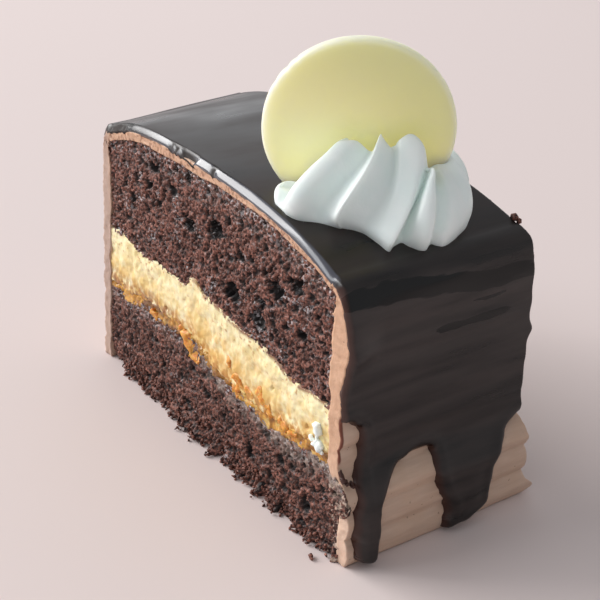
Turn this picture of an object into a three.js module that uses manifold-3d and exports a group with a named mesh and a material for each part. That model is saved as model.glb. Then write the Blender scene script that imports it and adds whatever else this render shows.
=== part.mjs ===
// A slice of layered sponge cake, cut from a frosted bar: chocolate and vanilla sponge with a marmalade
// filling, mocha cream combed over both ends, a poured chocolate glaze with drips, and on top a piped
// swirl of whipped cream that holds a white chocolate disc.
// Millimetres, +Z up. X runs along the slice to the end with the long drips, -Y faces the front cut.

import * as THREE from 'three';
import { mergeVertices } from 'three/addons/utils/BufferGeometryUtils.js';
import Module from 'manifold-3d';

// Plan of the slice: a bar cut across, a little narrower and skewed at its left end
const HALF_LENGTH = 45;
const FRONT_Y = -20.6;
const BACK_Y = 21;
const TAPER = 6.4;
const SKEW = 4.8;

// Side profile of the cream coat: a low crown over the top, leaning ends that spread at the foot
const CROWN_X = -12;
const CROWN_Z = 60.1;
const RIGHT_FALL = 7.8;
const RIGHT_REACH = 55;
const RIGHT_POWER = 3.3;
const LEFT_FALL = 5.8;
const LEFT_REACH = 31;
const LEFT_POWER = 2.7;
const RIGHT_FACE_X = 43.3;
const RIGHT_FOOT_STEP = 3.6;
const FOOT_STEP_LOW = 13;
const FOOT_STEP_HIGH = 20;
const LEFT_FACE_X = -43.6;
const LEFT_LEAN = 4.4;
const SHOULDER_Z = 48;
const SHOULDER_X = 39.6;
const COAT_FLOOR = 0.3;

// Combed ridges on the two ends
const COMB_PITCH = 5.7;
const COMB_DEPTH = 1.3;

// Thickness of each coat, and the clearance that separates one piece from the next
const END_COAT = 3.2;
const TOP_COAT_RIGHT = 1.1;
const TOP_COAT_LEFT = 2.0;
// Stretches of the side profile over which the coat passes from one thickness to the next
const RIGHT_THINNING = [0.8, 1.8];
const TOP_THICKENING = [2, 2.7];
const LEFT_THICKENING = [3.2, 4.2];
const GLAZE = 1.0;
const GLAZE_LEVELLING = 0.85;
const GAP = 0.3;
const SPONGE_GAP = 0.5;

// Heights of the layers at the middle of the slice
const VANILLA_TOP = 32.6;
const VANILLA_TOP_SLOPE = 0.035;
const VANILLA_TOP_BOW = 0.0008;
const VANILLA_TOP_WAVE = 0.9;
const VANILLA_TOP_PHASE = 0.8;
const VANILLA_BUMP = 2.6;
const VANILLA_BUMP_X = -6.2;
const VANILLA_BUMP_HALF = 2.9;
const VANILLA_BOTTOM = 20.8;
const VANILLA_DIP = 2.4;
const VANILLA_DIP_X = -3;
const VANILLA_DIP_LENGTH = 9;
const VANILLA_LEFT_BOW = -0.0014;
const VANILLA_RIGHT_BOW = 0.001;
const VANILLA_BOTTOM_WAVE = 0.6;
const VANILLA_BOTTOM_PHASE = 2.2;
const FILLING = 1.5;
const FILLING_SWELL = 0.7;
const FILLING_PHASE = 4.1;
const FOOT_FLARE = 1.2;
const FOOT_FLARE_HEIGHT = 7;
const FOOT_FLARE_DEPTH_POWER = 8;
const FOOT_FLARE_UNEVENNESS = 0.3;
const FOOT_FLARE_PITCH = 3;
const FOOT_FLARE_PHASE = 1.3;

// Waves of layers that were spread by hand: radians for each millimetre along and for the width across
const LONG_WAVE = { along: 0.115, across: 2.1, phase: 1, share: 0.6 };
const SHORT_WAVE = { along: 0.31, across: -3.4, phase: 1.7, share: 0.4 };

// Piped swirl of whipped cream. Heights of its folds count from the level SWIRL_Z.
const SWIRL_X = 23.7;
const SWIRL_Y = -0.2;
const SWIRL_Z = 58;
const SWIRL_FLOOR = -6;
const WELL_Z = 6;
// Crests and hollows of the swirl, from the left foot round the front: foot and turn in degrees, reach at
// the foot, swell of the belly, reach and height at the tip, and the share of the rise that comes late
const SHOWN_FOLDS = [
  [-104, -7, 18.7, 0.3, 16.3, 3.8, -1.3],
  [-98, -2, 18.7, 0.4, 10.1, 4.2, -0.3],
  [-93, -4, 18.6, 0.7, 6.1, 12, 0.2],
  [-89.5, 1, 18.6, 1.9, 7.1, 13, 0.1],
  [-83, 11, 17.2, 0.9, 6, 12.8, 0],
  [-74, 25, 15.3, -0.4, 5.1, 11.1, -0.1],
  [-62, 28, 14.1, 3.4, 5.9, 14.3, 0.1],
  [-59, 32, 13.6, 2, 5.3, 13.6, 0.1],
  [-46, 40, 13, 1.2, 5.3, 11.4, 0.4],
  [-34, 35, 14.9, 1.9, 6.3, 13.1, 0.4],
  [-28, 43, 16.4, 2.1, 7.6, 14.1, 0.4],
  [-24, 44, 15.1, 1.2, 9.6, 12.4, 0.3],
  [-17, 38, 14, -0.2, 10.5, 8.8, 0.1],
  [-13, 28, 15, 1.5, 11.8, 9.2, -0.2],
  [-5, 21, 16.4, 1.8, 12.4, 9.2, -0.1],
];
const RIGHT_FOLDS = [
  [3, 26, 15.3, 0.9, 10.8, 6, -0.4],
  [9, 33, 16.7, 1.3, 11.3, 7.2, -0.4],
  [24, 33, 16.7, 1.3, 11.3, 7.4, -0.4],
];
const LEFT_FOLDS = [
  [231, 7, 14.6, 0.9, 10.1, 3.4, -0.4],
  [244, 0, 15.2, 0.9, 10.6, 2.9, -0.4],
];
// Crests round the back, each with the hollow after it
const HIDDEN_CRESTS = 7;
const HIDDEN_START_DEG = 40;
const HIDDEN_PITCH_DEG = 27;
const HIDDEN_TURN_DEG = 33;
const HIDDEN_TURN_LOSS_DEG = 2.7;
const HIDDEN_TIP = 9.2;
const HIDDEN_TIP_RISE = 2.2;
const HIDDEN_LATE_RISE = -0.4;
const CREST = { reach: 17, belly: 1.3, tipReach: 11.5 };
const HOLLOW = { reach: 15.1, belly: 0.9, tipReach: 10.5, drop: 1.3, laterDrop: 0.45 };
// Shape of every fold: powers of its turn, of its narrowing and of its belly, and where it runs into the
// well round the disc, as shares of the tip's reach with the drop from the tip
const TURN_POWER = 2;
const NARROWING_POWER = 1.5;
const BELLY_POWER = 1.7;
const INTO_WELL = [[0.9, -0.3], [0.72, -1.9], [0.4, -3.4]];

// White chocolate disc, set upright in the swirl and facing the front right corner
const DISC_RADIUS = 16.95;
const DISC_THICKNESS = 2.4;
const DISC_EDGE = 0.8;
const DISC_X = 21.6;
const DISC_Y = -2.6;
const DISC_Z = 71.5;
const DISC_TURN = THREE.MathUtils.degToRad(55);
const DISC_LEAN = THREE.MathUtils.degToRad(8);
const DISC_CUT_Z = 61.4;

const wasm = await Module();
wasm.setup();

const { lerp, smoothstep } = THREE.MathUtils;

// Evenly spaced stops from one value to another
function stops(from, to, count) {
  return Array.from({ length: count + 1 }, (_, index) => lerp(from, to, index / count));
}

// Slow, uneven wave between -1 and 1, for layers that were spread by hand
function uneven(x, across, phase) {
  const wave = (w) => w.share * Math.sin(x * w.along + across * w.across + phase * w.phase);
  return wave(LONG_WAVE) + wave(SHORT_WAVE);
}

// Place in the plan: x along the front cut, `across` from the front cut (0) to the back cut (1)
function plan(x, across) {
  const toLeft = (HALF_LENGTH - x) / (2 * HALF_LENGTH);
  const backY = BACK_Y - TAPER * toLeft;
  return [x - SKEW * toLeft * across, lerp(FRONT_Y, backY, across)];
}

// A closed block whose three coordinates are carried to real places by `place`
function mappedBlock(place, aStops, bStops, cStops) {
  const points = [];
  const numbers = new Map();
  const corner = (i, j, k) => {
    const key = `${i},${j},${k}`;
    if (!numbers.has(key)) {
      numbers.set(key, points.length / 3);
      points.push(...place(aStops[i], bStops[j], cStops[k]));
    }
    return numbers.get(key);
  };
  const faces = [];
  const quad = (p, q, r, s) => faces.push(p, q, r, p, r, s);
  const na = aStops.length - 1;
  const nb = bStops.length - 1;
  const nc = cStops.length - 1;
  for (let i = 0; i < na; i += 1) {
    for (let j = 0; j < nb; j += 1) {
      quad(corner(i, j, 0), corner(i, j + 1, 0), corner(i + 1, j + 1, 0), corner(i + 1, j, 0));
      quad(corner(i, j, nc), corner(i + 1, j, nc), corner(i + 1, j + 1, nc), corner(i, j + 1, nc));
    }
    for (let k = 0; k < nc; k += 1) {
      quad(corner(i, 0, k), corner(i + 1, 0, k), corner(i + 1, 0, k + 1), corner(i, 0, k + 1));
      quad(corner(i, nb, k), corner(i, nb, k + 1), corner(i + 1, nb, k + 1), corner(i + 1, nb, k));
    }
  }
  for (let j = 0; j < nb; j += 1) {
    for (let k = 0; k < nc; k += 1) {
      quad(corner(0, j, k), corner(0, j, k + 1), corner(0, j + 1, k + 1), corner(0, j + 1, k));
      quad(corner(na, j, k), corner(na, j + 1, k), corner(na, j + 1, k + 1), corner(na, j, k + 1));
    }
  }
  return facingOut(points, faces);
}

// Geometry from points and triangles, turned so that its faces point out
function facingOut(points, faces) {
  const vertex = (index) => new THREE.Vector3().fromArray(points, 3 * index);
  let volume = 0;
  for (let f = 0; f < faces.length; f += 3) {
    volume += vertex(faces[f]).dot(vertex(faces[f + 1]).cross(vertex(faces[f + 2])));
  }
  const geometry = new THREE.BufferGeometry();
  geometry.setAttribute('position', new THREE.Float32BufferAttribute(points, 3));
  geometry.setIndex(volume < 0 ? faces.toReversed() : faces);
  return geometry;
}

const MERGE_DISTANCE = 1e-4;

function toSolid(geometry) {
  const bare = geometry.clone();
  bare.deleteAttribute('normal');
  bare.deleteAttribute('uv');
  const merged = mergeVertices(bare, MERGE_DISTANCE);
  return new wasm.Manifold(new wasm.Mesh({
    numProp: 3,
    vertProperties: new Float32Array(merged.attributes.position.array),
    triVerts: new Uint32Array(merged.index.array),
  }));
}

function toGeometry(solid) {
  const mesh = solid.getMesh();
  const geometry = new THREE.BufferGeometry();
  geometry.setAttribute('position', new THREE.BufferAttribute(mesh.vertProperties, mesh.numProp));
  geometry.setIndex(new THREE.BufferAttribute(mesh.triVerts, 1));
  return geometry;
}

// Outer outline of the cream coat: over the top, and down each end
function coatTop(x) {
  const right = RIGHT_FALL * (Math.max(x - CROWN_X, 0) / RIGHT_REACH) ** RIGHT_POWER;
  const left = LEFT_FALL * (Math.max(CROWN_X - x, 0) / LEFT_REACH) ** LEFT_POWER;
  return CROWN_Z - right - left;
}

function rightFace(z) {
  return RIGHT_FACE_X + RIGHT_FOOT_STEP * (1 - smoothstep(z, FOOT_STEP_LOW, FOOT_STEP_HIGH));
}

function leftFace(z) {
  return LEFT_FACE_X - LEFT_LEAN * (1 - z / SHOULDER_Z);
}

// Depth of the comb's groove at a height on the ends, fading out at the shoulder
function combGroove(z) {
  const fade = 1 - smoothstep(z, SHOULDER_Z - COMB_PITCH, SHOULDER_Z);
  return COMB_DEPTH * fade * (1 - Math.sqrt(Math.abs(Math.sin((Math.PI * z) / COMB_PITCH))));
}

// Point of the side profile, `inset` inside the coat's outer face. `run` counts its five stretches:
// right end 0 to 1, right shoulder to 2, top to 3, left shoulder to 4 and left end to 5.
function profile(run, inset) {
  const stretch = Math.min(Math.floor(run), 4);
  const part = run - stretch;
  if (stretch === 0) {
    const z = lerp(COAT_FLOOR, SHOULDER_Z, part);
    return [rightFace(z) - inset, z];
  }
  if (stretch === 1) {
    const angle = (part * Math.PI) / 2;
    const wide = rightFace(SHOULDER_Z) - SHOULDER_X - inset;
    const high = coatTop(SHOULDER_X) - SHOULDER_Z - inset;
    return [SHOULDER_X + wide * Math.cos(angle), SHOULDER_Z + high * Math.sin(angle)];
  }
  if (stretch === 2) {
    const x = lerp(SHOULDER_X, -SHOULDER_X, part);
    return [x, coatTop(x) - inset];
  }
  if (stretch === 3) {
    const angle = (part * Math.PI) / 2;
    const wide = -leftFace(SHOULDER_Z) - SHOULDER_X - inset;
    const high = coatTop(-SHOULDER_X) - SHOULDER_Z - inset;
    return [-SHOULDER_X - wide * Math.sin(angle), SHOULDER_Z + high * Math.cos(angle)];
  }
  const z = lerp(SHOULDER_Z, COAT_FLOOR, part);
  return [leftFace(z) + inset, z];
}

// Groove of the comb at a place on the profile: only the two ends are combed
function grooveAt(run) {
  if (run > 1 && run < 4) {
    return 0;
  }
  return combGroove(profile(run, 0)[1]);
}

// Thickness of the cream coat along the profile
function coatThickness(run) {
  if (run < 2) {
    return lerp(END_COAT, TOP_COAT_RIGHT, smoothstep(run, ...RIGHT_THINNING));
  }
  const top = lerp(TOP_COAT_RIGHT, TOP_COAT_LEFT, smoothstep(run, ...TOP_THICKENING));
  return lerp(top, END_COAT, smoothstep(run, ...LEFT_THICKENING));
}

// Rows along the profile: close on the combed ends, wider over the top
const END_ROWS = 34;
const SHOULDER_ROWS = 4;
const TOP_ROWS = 14;
const PROFILE_ROWS = [
  ...stops(0, 1, END_ROWS).slice(0, -1),
  ...stops(1, 2, SHOULDER_ROWS).slice(0, -1),
  ...stops(2, 3, TOP_ROWS).slice(0, -1),
  ...stops(3, 4, SHOULDER_ROWS).slice(0, -1),
  ...stops(4, 5, END_ROWS),
];
const ACROSS = stops(0, 1, 4);
const THROUGH = [0, 1];

function coatGeometry() {
  const place = (run, across, outward) => {
    const inset = lerp(coatThickness(run), grooveAt(run), outward);
    const [x, z] = profile(run, inset);
    return [...plan(x, across), z];
  };
  return mappedBlock(place, PROFILE_ROWS, ACROSS, THROUGH);
}

// Edge of the poured glaze on an end, as height against distance from the front cut to the back:
// what lies below the line stays bare
const RIGHT_EDGE = [
  [-30, 29.2], [-20.1, 28.9], [-18.3, 28], [-17, 26.5], [-16.4, 22.5], [-17.5, 18], [-18.6, 14.5], [-19.3, 9],
  [-19.2, 3], [-17.4, 0.7], [-15, 1.4], [-14.1, 6], [-13.9, 10.5], [-12.7, 14.2], [-8.6, 17.2], [-4, 18.3],
  [-0.9, 17.6], [-1.6, 14], [0, 9], [1.5, 5], [0.9, 2.4], [1.4, 0.7], [4.2, 1], [7.7, 2], [11.3, 3.6],
  [11.8, 8.6], [12.8, 12], [15.4, 15.4], [19, 17.6], [30, 21],
];
const LEFT_EDGE = [
  [-30, 54.2], [-17, 53.6], [-13.4, 48], [-12.4, 37], [-10.4, 34.6], [-8.5, 37.4], [-7.2, 46], [-3.6, 49.4],
  [-0.8, 46], [0.4, 30], [2.6, 26.6], [4.9, 29.6], [6, 43], [9.4, 47.6], [13, 45], [30, 44],
];
const BARE_DEPTH = 5;
const BARE_REACH = 20;
const EDGE_STEPS = 3;

function bareEnd(edge, xFrom) {
  const outline = new THREE.Shape();
  outline.moveTo(...edge[0]);
  outline.splineThru(edge.slice(1).map(([y, z]) => new THREE.Vector2(y, z)));
  outline.lineTo(edge.at(-1)[0], -BARE_DEPTH);
  outline.lineTo(edge[0][0], -BARE_DEPTH);
  const options = { depth: BARE_REACH, bevelEnabled: false, curveSegments: EDGE_STEPS };
  const block = new THREE.ExtrudeGeometry(outline, options);
  const alongX = new THREE.Matrix4().makeBasis(
    new THREE.Vector3(0, 1, 0),
    new THREE.Vector3(0, 0, 1),
    new THREE.Vector3(1, 0, 0),
  );
  return block.applyMatrix4(alongX).translate(xFrom, 0, 0);
}

// Height of the glaze's upper face over the top of the slice
function glazeTop(x) {
  return coatTop(x) + GAP + GLAZE;
}

function glazeGeometry() {
  const place = (run, across, outward) => {
    const groove = grooveAt(run);
    const inset = lerp(groove - GAP, groove * (1 - GLAZE_LEVELLING) - GAP - GLAZE, outward);
    const [x, z] = profile(run, inset);
    return [...plan(x, across), z];
  };
  const sheet = toSolid(mappedBlock(place, PROFILE_ROWS, ACROSS, THROUGH));
  const rightBare = toSolid(bareEnd(RIGHT_EDGE, SHOULDER_X));
  const leftBare = toSolid(bareEnd(LEFT_EDGE, -SHOULDER_X - SKEW / 2 - BARE_REACH));
  return toGeometry(sheet.subtract(rightBare).subtract(leftBare));
}

// Upper face of the sponge, under the coat
function spongeTop(nominal) {
  const x = (nominal * SHOULDER_X) / HALF_LENGTH;
  const run = 2 + (SHOULDER_X - x) / (2 * SHOULDER_X);
  return coatTop(x) - coatThickness(run) - SPONGE_GAP;
}

function vanillaTop(x, across) {
  const bend = VANILLA_TOP_SLOPE * x + VANILLA_TOP_BOW * x * x;
  const bump = VANILLA_BUMP * Math.exp(-(((x - VANILLA_BUMP_X) / VANILLA_BUMP_HALF) ** 4));
  return VANILLA_TOP - bend + VANILLA_TOP_WAVE * uneven(x, across, VANILLA_TOP_PHASE) + bump;
}

function vanillaBottom(x, across) {
  const dip = VANILLA_DIP * Math.tanh((x - VANILLA_DIP_X) / VANILLA_DIP_LENGTH);
  const ends = (x < 0 ? VANILLA_LEFT_BOW : VANILLA_RIGHT_BOW) * x * x;
  return VANILLA_BOTTOM - dip + ends + VANILLA_BOTTOM_WAVE * uneven(x, across, VANILLA_BOTTOM_PHASE);
}

function fillingBottom(x, across) {
  return vanillaBottom(x, across) - FILLING - FILLING_SWELL * uneven(x, across, FILLING_PHASE);
}

// Crumbs pressed out at the foot of both cut faces
function footFlare(x, z, across) {
  const low = 1 - smoothstep(z, 0, FOOT_FLARE_HEIGHT);
  const ragged = FOOT_FLARE_UNEVENNESS * (uneven(FOOT_FLARE_PITCH * x, across, FOOT_FLARE_PHASE) - 1);
  return FOOT_FLARE * low * low * (1 + ragged);
}

const ACROSS_LAYERS = stops(0, 1, 8);
const ALONG_LAYERS = stops(0, 1, 26);
const PLAIN_RISE = stops(0, 1, 2);
const FOOT_RISE = [0, 0.1, 0.25, 0.55, 1];

// One sponge or filling layer between two height functions, cut off short of the coat at both ends
function layerGeometry(lower, upper, upStops) {
  const place = (along, across, up) => {
    const nominal = lerp(-HALF_LENGTH, HALF_LENGTH, along);
    const z = lerp(lower(nominal, across), upper(nominal, across), up);
    const endZ = Math.min(z, SHOULDER_Z);
    const inset = END_COAT + SPONGE_GAP;
    const x = lerp(leftFace(endZ) + inset, rightFace(endZ) - inset, along);
    const [px, py] = plan(x, across);
    const side = 2 * across - 1;
    const flare = footFlare(x, z, across) * Math.abs(side) ** FOOT_FLARE_DEPTH_POWER;
    return [px, py + Math.sign(side) * flare, z];
  };
  return mappedBlock(place, ALONG_LAYERS, ACROSS_LAYERS, upStops);
}

// Sizes of the folds round the back of the swirl
function hiddenFolds() {
  const folds = [];
  for (let crest = 0; crest < HIDDEN_CRESTS; crest += 1) {
    const foot = HIDDEN_START_DEG + HIDDEN_PITCH_DEG * crest;
    const turn = HIDDEN_TURN_DEG - HIDDEN_TURN_LOSS_DEG * crest;
    const tip = HIDDEN_TIP + HIDDEN_TIP_RISE * Math.sin((Math.PI * crest) / (HIDDEN_CRESTS - 1));
    const low = tip - HOLLOW.drop - HOLLOW.laterDrop * crest;
    folds.push([foot, turn, CREST.reach, CREST.belly, CREST.tipReach, tip, HIDDEN_LATE_RISE]);
    folds.push([
      foot + HIDDEN_PITCH_DEG / 2, turn, HOLLOW.reach, HOLLOW.belly, HOLLOW.tipReach, low, HIDDEN_LATE_RISE,
    ]);
  }
  return folds;
}

const FOLD_PARTS = stops(0, 1, 6);
const FOLD_ROWS = 13;
const COLUMNS_PER_FOLD = 2;
const FULLEST = 1 / (1 + BELLY_POWER);

// Swell of a fold's belly along its length, 1 where it is fullest
function bellyAt(part) {
  const swell = (at) => at * (1 - at) ** BELLY_POWER;
  return swell(part) / swell(FULLEST);
}

// Curve of one fold, from its foot on the glaze over its tip and down into the well round the disc
function foldCurve([foot, turn, reach, belly, tipReach, tip, lateRise]) {
  const footAngle = THREE.MathUtils.degToRad(foot);
  const ground = glazeTop(SWIRL_X + reach * Math.cos(footAngle)) - SWIRL_Z;
  const points = FOLD_PARTS.map((part) => {
    const angle = THREE.MathUtils.degToRad(foot + turn * part ** TURN_POWER);
    const out = lerp(reach, tipReach, part ** NARROWING_POWER) + belly * bellyAt(part);
    const rise = part + lateRise * (part ** 3 - part);
    return new THREE.Vector3(out * Math.cos(angle), out * Math.sin(angle), lerp(ground, tip, rise));
  });
  const end = points.at(-1);
  for (const [share, drop] of INTO_WELL) {
    points.push(new THREE.Vector3(end.x * share, end.y * share, end.z + drop));
  }
  points.push(new THREE.Vector3(0, 0, WELL_Z));
  return new THREE.CatmullRomCurve3(points, false, 'catmullrom');
}

// The swirl as a skin over its folds, with a plain foot that reaches down through the glaze
function swirlBody() {
  const curves = [...SHOWN_FOLDS, ...RIGHT_FOLDS, ...hiddenFolds(), ...LEFT_FOLDS].map(foldCurve);
  const around = curves.length * COLUMNS_PER_FOLD;
  const points = [];
  const row = (part, level) => {
    const nodes = curves.map((curve) => curve.getPoint(part));
    const ring = new THREE.CatmullRomCurve3(nodes, true, 'catmullrom');
    for (let column = 0; column < around; column += 1) {
      const { x, y, z } = ring.getPoint(column / around);
      points.push(SWIRL_X + x, SWIRL_Y + y, SWIRL_Z + (level ?? z));
    }
  };
  row(0, SWIRL_FLOOR);
  for (let step = 0; step < FOLD_ROWS; step += 1) {
    row(step / FOLD_ROWS);
  }
  const floorCentre = points.length / 3;
  points.push(SWIRL_X, SWIRL_Y, SWIRL_Z + SWIRL_FLOOR);
  const well = floorCentre + 1;
  points.push(SWIRL_X, SWIRL_Y, SWIRL_Z + WELL_Z);
  const faces = [];
  const last = FOLD_ROWS * around;
  for (let column = 0; column < around; column += 1) {
    const next = (column + 1) % around;
    for (let low = 0; low < last; low += around) {
      const high = low + around;
      faces.push(low + column, low + next, high + next, low + column, high + next, high + column);
    }
    faces.push(last + column, last + next, well);
    faces.push(next, column, floorCentre);
  }
  return toSolid(facingOut(points, faces));
}

const DISC_SIDES = 60;
const DISC_EDGE_STEPS = 6;

// Disc with a rounded edge, grown by `grow` for the slot that it leaves in the cream. Its lower edge,
// which the cream hides, is cut level above the glaze.
function discBody(grow) {
  const half = DISC_THICKNESS / 2 + grow;
  const radius = DISC_RADIUS + grow;
  const bend = DISC_EDGE + grow;
  const outline = [new THREE.Vector2(0, -half)];
  for (const angle of stops(-Math.PI / 2, Math.PI / 2, DISC_EDGE_STEPS)) {
    const reach = radius - bend + bend * Math.cos(angle);
    outline.push(new THREE.Vector2(reach, half * Math.sin(angle)));
  }
  outline.push(new THREE.Vector2(0, half));
  const disc = new THREE.LatheGeometry(outline, DISC_SIDES);
  disc.rotateX(DISC_LEAN);
  disc.rotateZ(DISC_TURN);
  disc.translate(DISC_X, DISC_Y, DISC_Z);
  const below = new THREE.BoxGeometry(4 * DISC_RADIUS, 4 * DISC_RADIUS, DISC_Z);
  below.translate(DISC_X, DISC_Y, DISC_CUT_Z - grow - DISC_Z / 2);
  return toSolid(disc).subtract(toSolid(below));
}

const SEAT_ROWS = stops(0, 1, 18);
const PAST_BOTH_CUTS = [-0.2, 1.2];

// Everything under the glaze's upper face, used to seat the cream on it
function underGlaze() {
  const place = (along, across, up) => {
    const x = lerp(0, HALF_LENGTH, along);
    return [...plan(x, across), lerp(0, glazeTop(x) + GAP, up)];
  };
  return toSolid(mappedBlock(place, SEAT_ROWS, PAST_BOTH_CUTS, THROUGH));
}

function swirlGeometry() {
  return toGeometry(swirlBody().subtract(underGlaze()).subtract(discBody(GAP)));
}

function piece(name, geometry, color, roughness) {
  const material = new THREE.MeshStandardMaterial({ color, roughness, metalness: 0 });
  const mesh = new THREE.Mesh(geometry, material);
  mesh.name = name;
  return mesh;
}

const floorLevel = () => 0;
const under = (height) => (x, across) => height(x, across) - GAP;

const slice = new THREE.Group();
slice.name = 'cake_slice';
slice.add(
  piece(
    'sponge_bottom_chocolate',
    layerGeometry(floorLevel, under(fillingBottom), FOOT_RISE),
    '#3a2420',
    0.95,
  ),
  piece(
    'filling_marmalade',
    layerGeometry(fillingBottom, under(vanillaBottom), THROUGH),
    '#c07a28',
    0.35,
  ),
  piece(
    'sponge_middle_vanilla',
    layerGeometry(vanillaBottom, under(vanillaTop), PLAIN_RISE),
    '#ecd9a0',
    0.95,
  ),
  piece(
    'sponge_top_chocolate',
    layerGeometry(vanillaTop, spongeTop, PLAIN_RISE),
    '#3e2620',
    0.95,
  ),
  piece('coat_mocha_cream', coatGeometry(), '#c9a48c', 0.6),
  piece('glaze_dark_chocolate', glazeGeometry(), '#1d1514', 0.25),
  piece('swirl_whipped_cream', swirlGeometry(), '#f1f3ef', 0.55),
  piece('disc_white_chocolate', toGeometry(discBody(0)), '#dcd3a0', 0.4),
);

// The origin is the middle of the box's underside
const box = new THREE.Box3().setFromObject(slice);
const middle = box.getCenter(new THREE.Vector3());
slice.position.set(-middle.x, -middle.y, -box.min.z);

export default slice;
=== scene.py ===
import math

import bpy
import numpy as np
from mathutils import Matrix, Vector


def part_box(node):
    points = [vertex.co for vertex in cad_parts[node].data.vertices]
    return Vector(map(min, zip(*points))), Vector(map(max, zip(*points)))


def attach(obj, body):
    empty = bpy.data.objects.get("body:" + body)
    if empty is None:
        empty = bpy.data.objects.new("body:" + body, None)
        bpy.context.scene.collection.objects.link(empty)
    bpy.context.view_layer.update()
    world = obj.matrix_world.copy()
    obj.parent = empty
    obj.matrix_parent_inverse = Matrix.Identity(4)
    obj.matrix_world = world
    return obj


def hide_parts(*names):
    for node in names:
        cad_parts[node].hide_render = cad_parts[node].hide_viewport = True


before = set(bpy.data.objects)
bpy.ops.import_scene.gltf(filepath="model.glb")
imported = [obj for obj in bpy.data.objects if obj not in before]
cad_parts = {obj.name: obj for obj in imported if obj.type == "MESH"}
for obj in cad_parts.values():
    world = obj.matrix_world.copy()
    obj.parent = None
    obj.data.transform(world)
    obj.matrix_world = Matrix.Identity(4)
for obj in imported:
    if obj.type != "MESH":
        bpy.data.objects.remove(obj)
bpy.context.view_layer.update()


# Lower chocolate sponge: a moist, open crumb that carries the whole slice. It was baked as a sheet and cut
# with a knife, which tore its cut faces and dragged a ragged foot of crumbs out along the base.
MM = 0.001
HALF_LENGTH = 45.0
FRONT_Y = -20.6
BACK_Y = 21.0
TAPER = 6.4
SKEW = 4.8
SHOULDER_Z = 48.0
RIGHT_X = 43.3
RIGHT_FOOT = 3.6
LEFT_X = -43.6
LEFT_LEAN = 4.4
UNDER_COAT = 2.7
VANILLA_FOOT_Z = 20.8
VANILLA_DROP = 2.4
FILLING = 1.5
FOOT_HEIGHT = 6.5
FOOT_REACH = 2.3
SMEAR_Z = 13.8
SMEAR_REACH = 2.9
LOWER_LAP = 0.2
HOLES_BEHIND = 16
BUBBLE_LENGTH = 1.15
BUBBLE_DEPTH = 1.35
PATTERNS_APART = 70.0
CRUMB_STEP = 0.226
# Places are in millimetres from near the middle of the slice; SHIFT carries them to the shared frame.
DISC_PLACE = np.array([21.6, -2.6, 71.5])
disc_low, disc_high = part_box("disc_white_chocolate")
SHIFT = np.array([(low + high) / 2 / MM for low, high in zip(disc_low, disc_high)]) - DISC_PLACE
SHIFT[2] = 0.0


def smoothstep(low, high, value):
    part = np.clip((value - low) / (high - low), 0, 1)
    return part * part * (3 - 2 * part)


def hump(value, middle, width, power=2):
    """A round rise to 1 at the middle."""
    return np.exp(-((value - middle) / width) ** power)


def plan(x, across):
    """Ground plan of the slice: the place along it, and 0 at the front cut to 1 at the back cut."""
    to_left = (HALF_LENGTH - x) / (2 * HALF_LENGTH)
    back_y = BACK_Y - TAPER * to_left
    return x - SKEW * to_left * across, FRONT_Y + (back_y - FRONT_Y) * across


def uneven(x, across, phase):
    """Slow waves of hand-spread layers, from about -1 to 1."""
    long_wave = np.sin(0.115 * x + 2.1 * across + phase)
    short_wave = np.sin(0.31 * x - 3.4 * across + 1.7 * phase)
    return 0.6 * long_wave + 0.4 * short_wave


def clouds(u, v, seed):
    """Smooth chance relief from -1 to 1 with a pitch of 1 both ways, the same each run."""
    size = 64
    table = np.random.default_rng(seed).uniform(-1, 1, (size, size))
    u, v = np.broadcast_arrays(np.asarray(u, float), np.asarray(v, float))
    iu = np.floor(u).astype(int)
    iv = np.floor(v).astype(int)
    fu = smoothstep(0, 1, u - iu)
    fv = smoothstep(0, 1, v - iv)
    near = table[iu % size, iv % size] * (1 - fu) + table[(iu + 1) % size, iv % size] * fu
    far = table[iu % size, (iv + 1) % size] * (1 - fu) + table[(iu + 1) % size, (iv + 1) % size] * fu
    return near * (1 - fv) + far * fv


def right_face(z):
    return RIGHT_X + RIGHT_FOOT * (1 - smoothstep(13, 20, z))


def left_face(z):
    return LEFT_X - LEFT_LEAN * (1 - z / SHOULDER_Z)


def vanilla_bottom(x, across):
    bow = np.where(x < 0, -0.0014, 0.001)
    return VANILLA_FOOT_Z - VANILLA_DROP * np.tanh((x + 3) / 9) + bow * x * x + 0.6 * uneven(x, across, 2.2)


def filling_bottom(x, across):
    return vanilla_bottom(x, across) - FILLING - 0.7 * uneven(x, across, 4.1)


def block_sides(counts):
    """Grid places and quads of a block's six sides, which share their edges; axes are right-handed."""
    ids = np.arange(np.prod(counts)).reshape(counts)
    quads = []
    for axis in range(3):
        for end in (0, -1):
            side = ids.take(end, axis=axis)
            quad = np.stack([side[:-1, :-1], side[1:, :-1], side[1:, 1:], side[:-1, 1:]], axis=-1)
            quad = quad.reshape(-1, 4)
            outward = (end == -1) == (axis != 1)
            quads.append(quad if outward else quad[:, ::-1])
    used, faces = np.unique(np.concatenate(quads), return_inverse=True)
    return np.unravel_index(used, counts), faces.reshape(-1, 4)


def make_piece(name, points, faces=(), **values):
    """A mesh object from points in millimetres; each further value is kept as an attribute of the points."""
    mesh = bpy.data.meshes.new(name)
    mesh.from_pydata(((points + SHIFT) * MM).tolist(), [], [tuple(face) for face in faces])
    for label, numbers in values.items():
        layer = mesh.attributes.new(label, "FLOAT", "POINT")
        layer.data.foreach_set("value", np.asarray(numbers, dtype=np.float32).ravel())
    mesh.shade_smooth()
    piece = bpy.data.objects.new(name, mesh)
    bpy.context.collection.objects.link(piece)
    return piece


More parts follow.
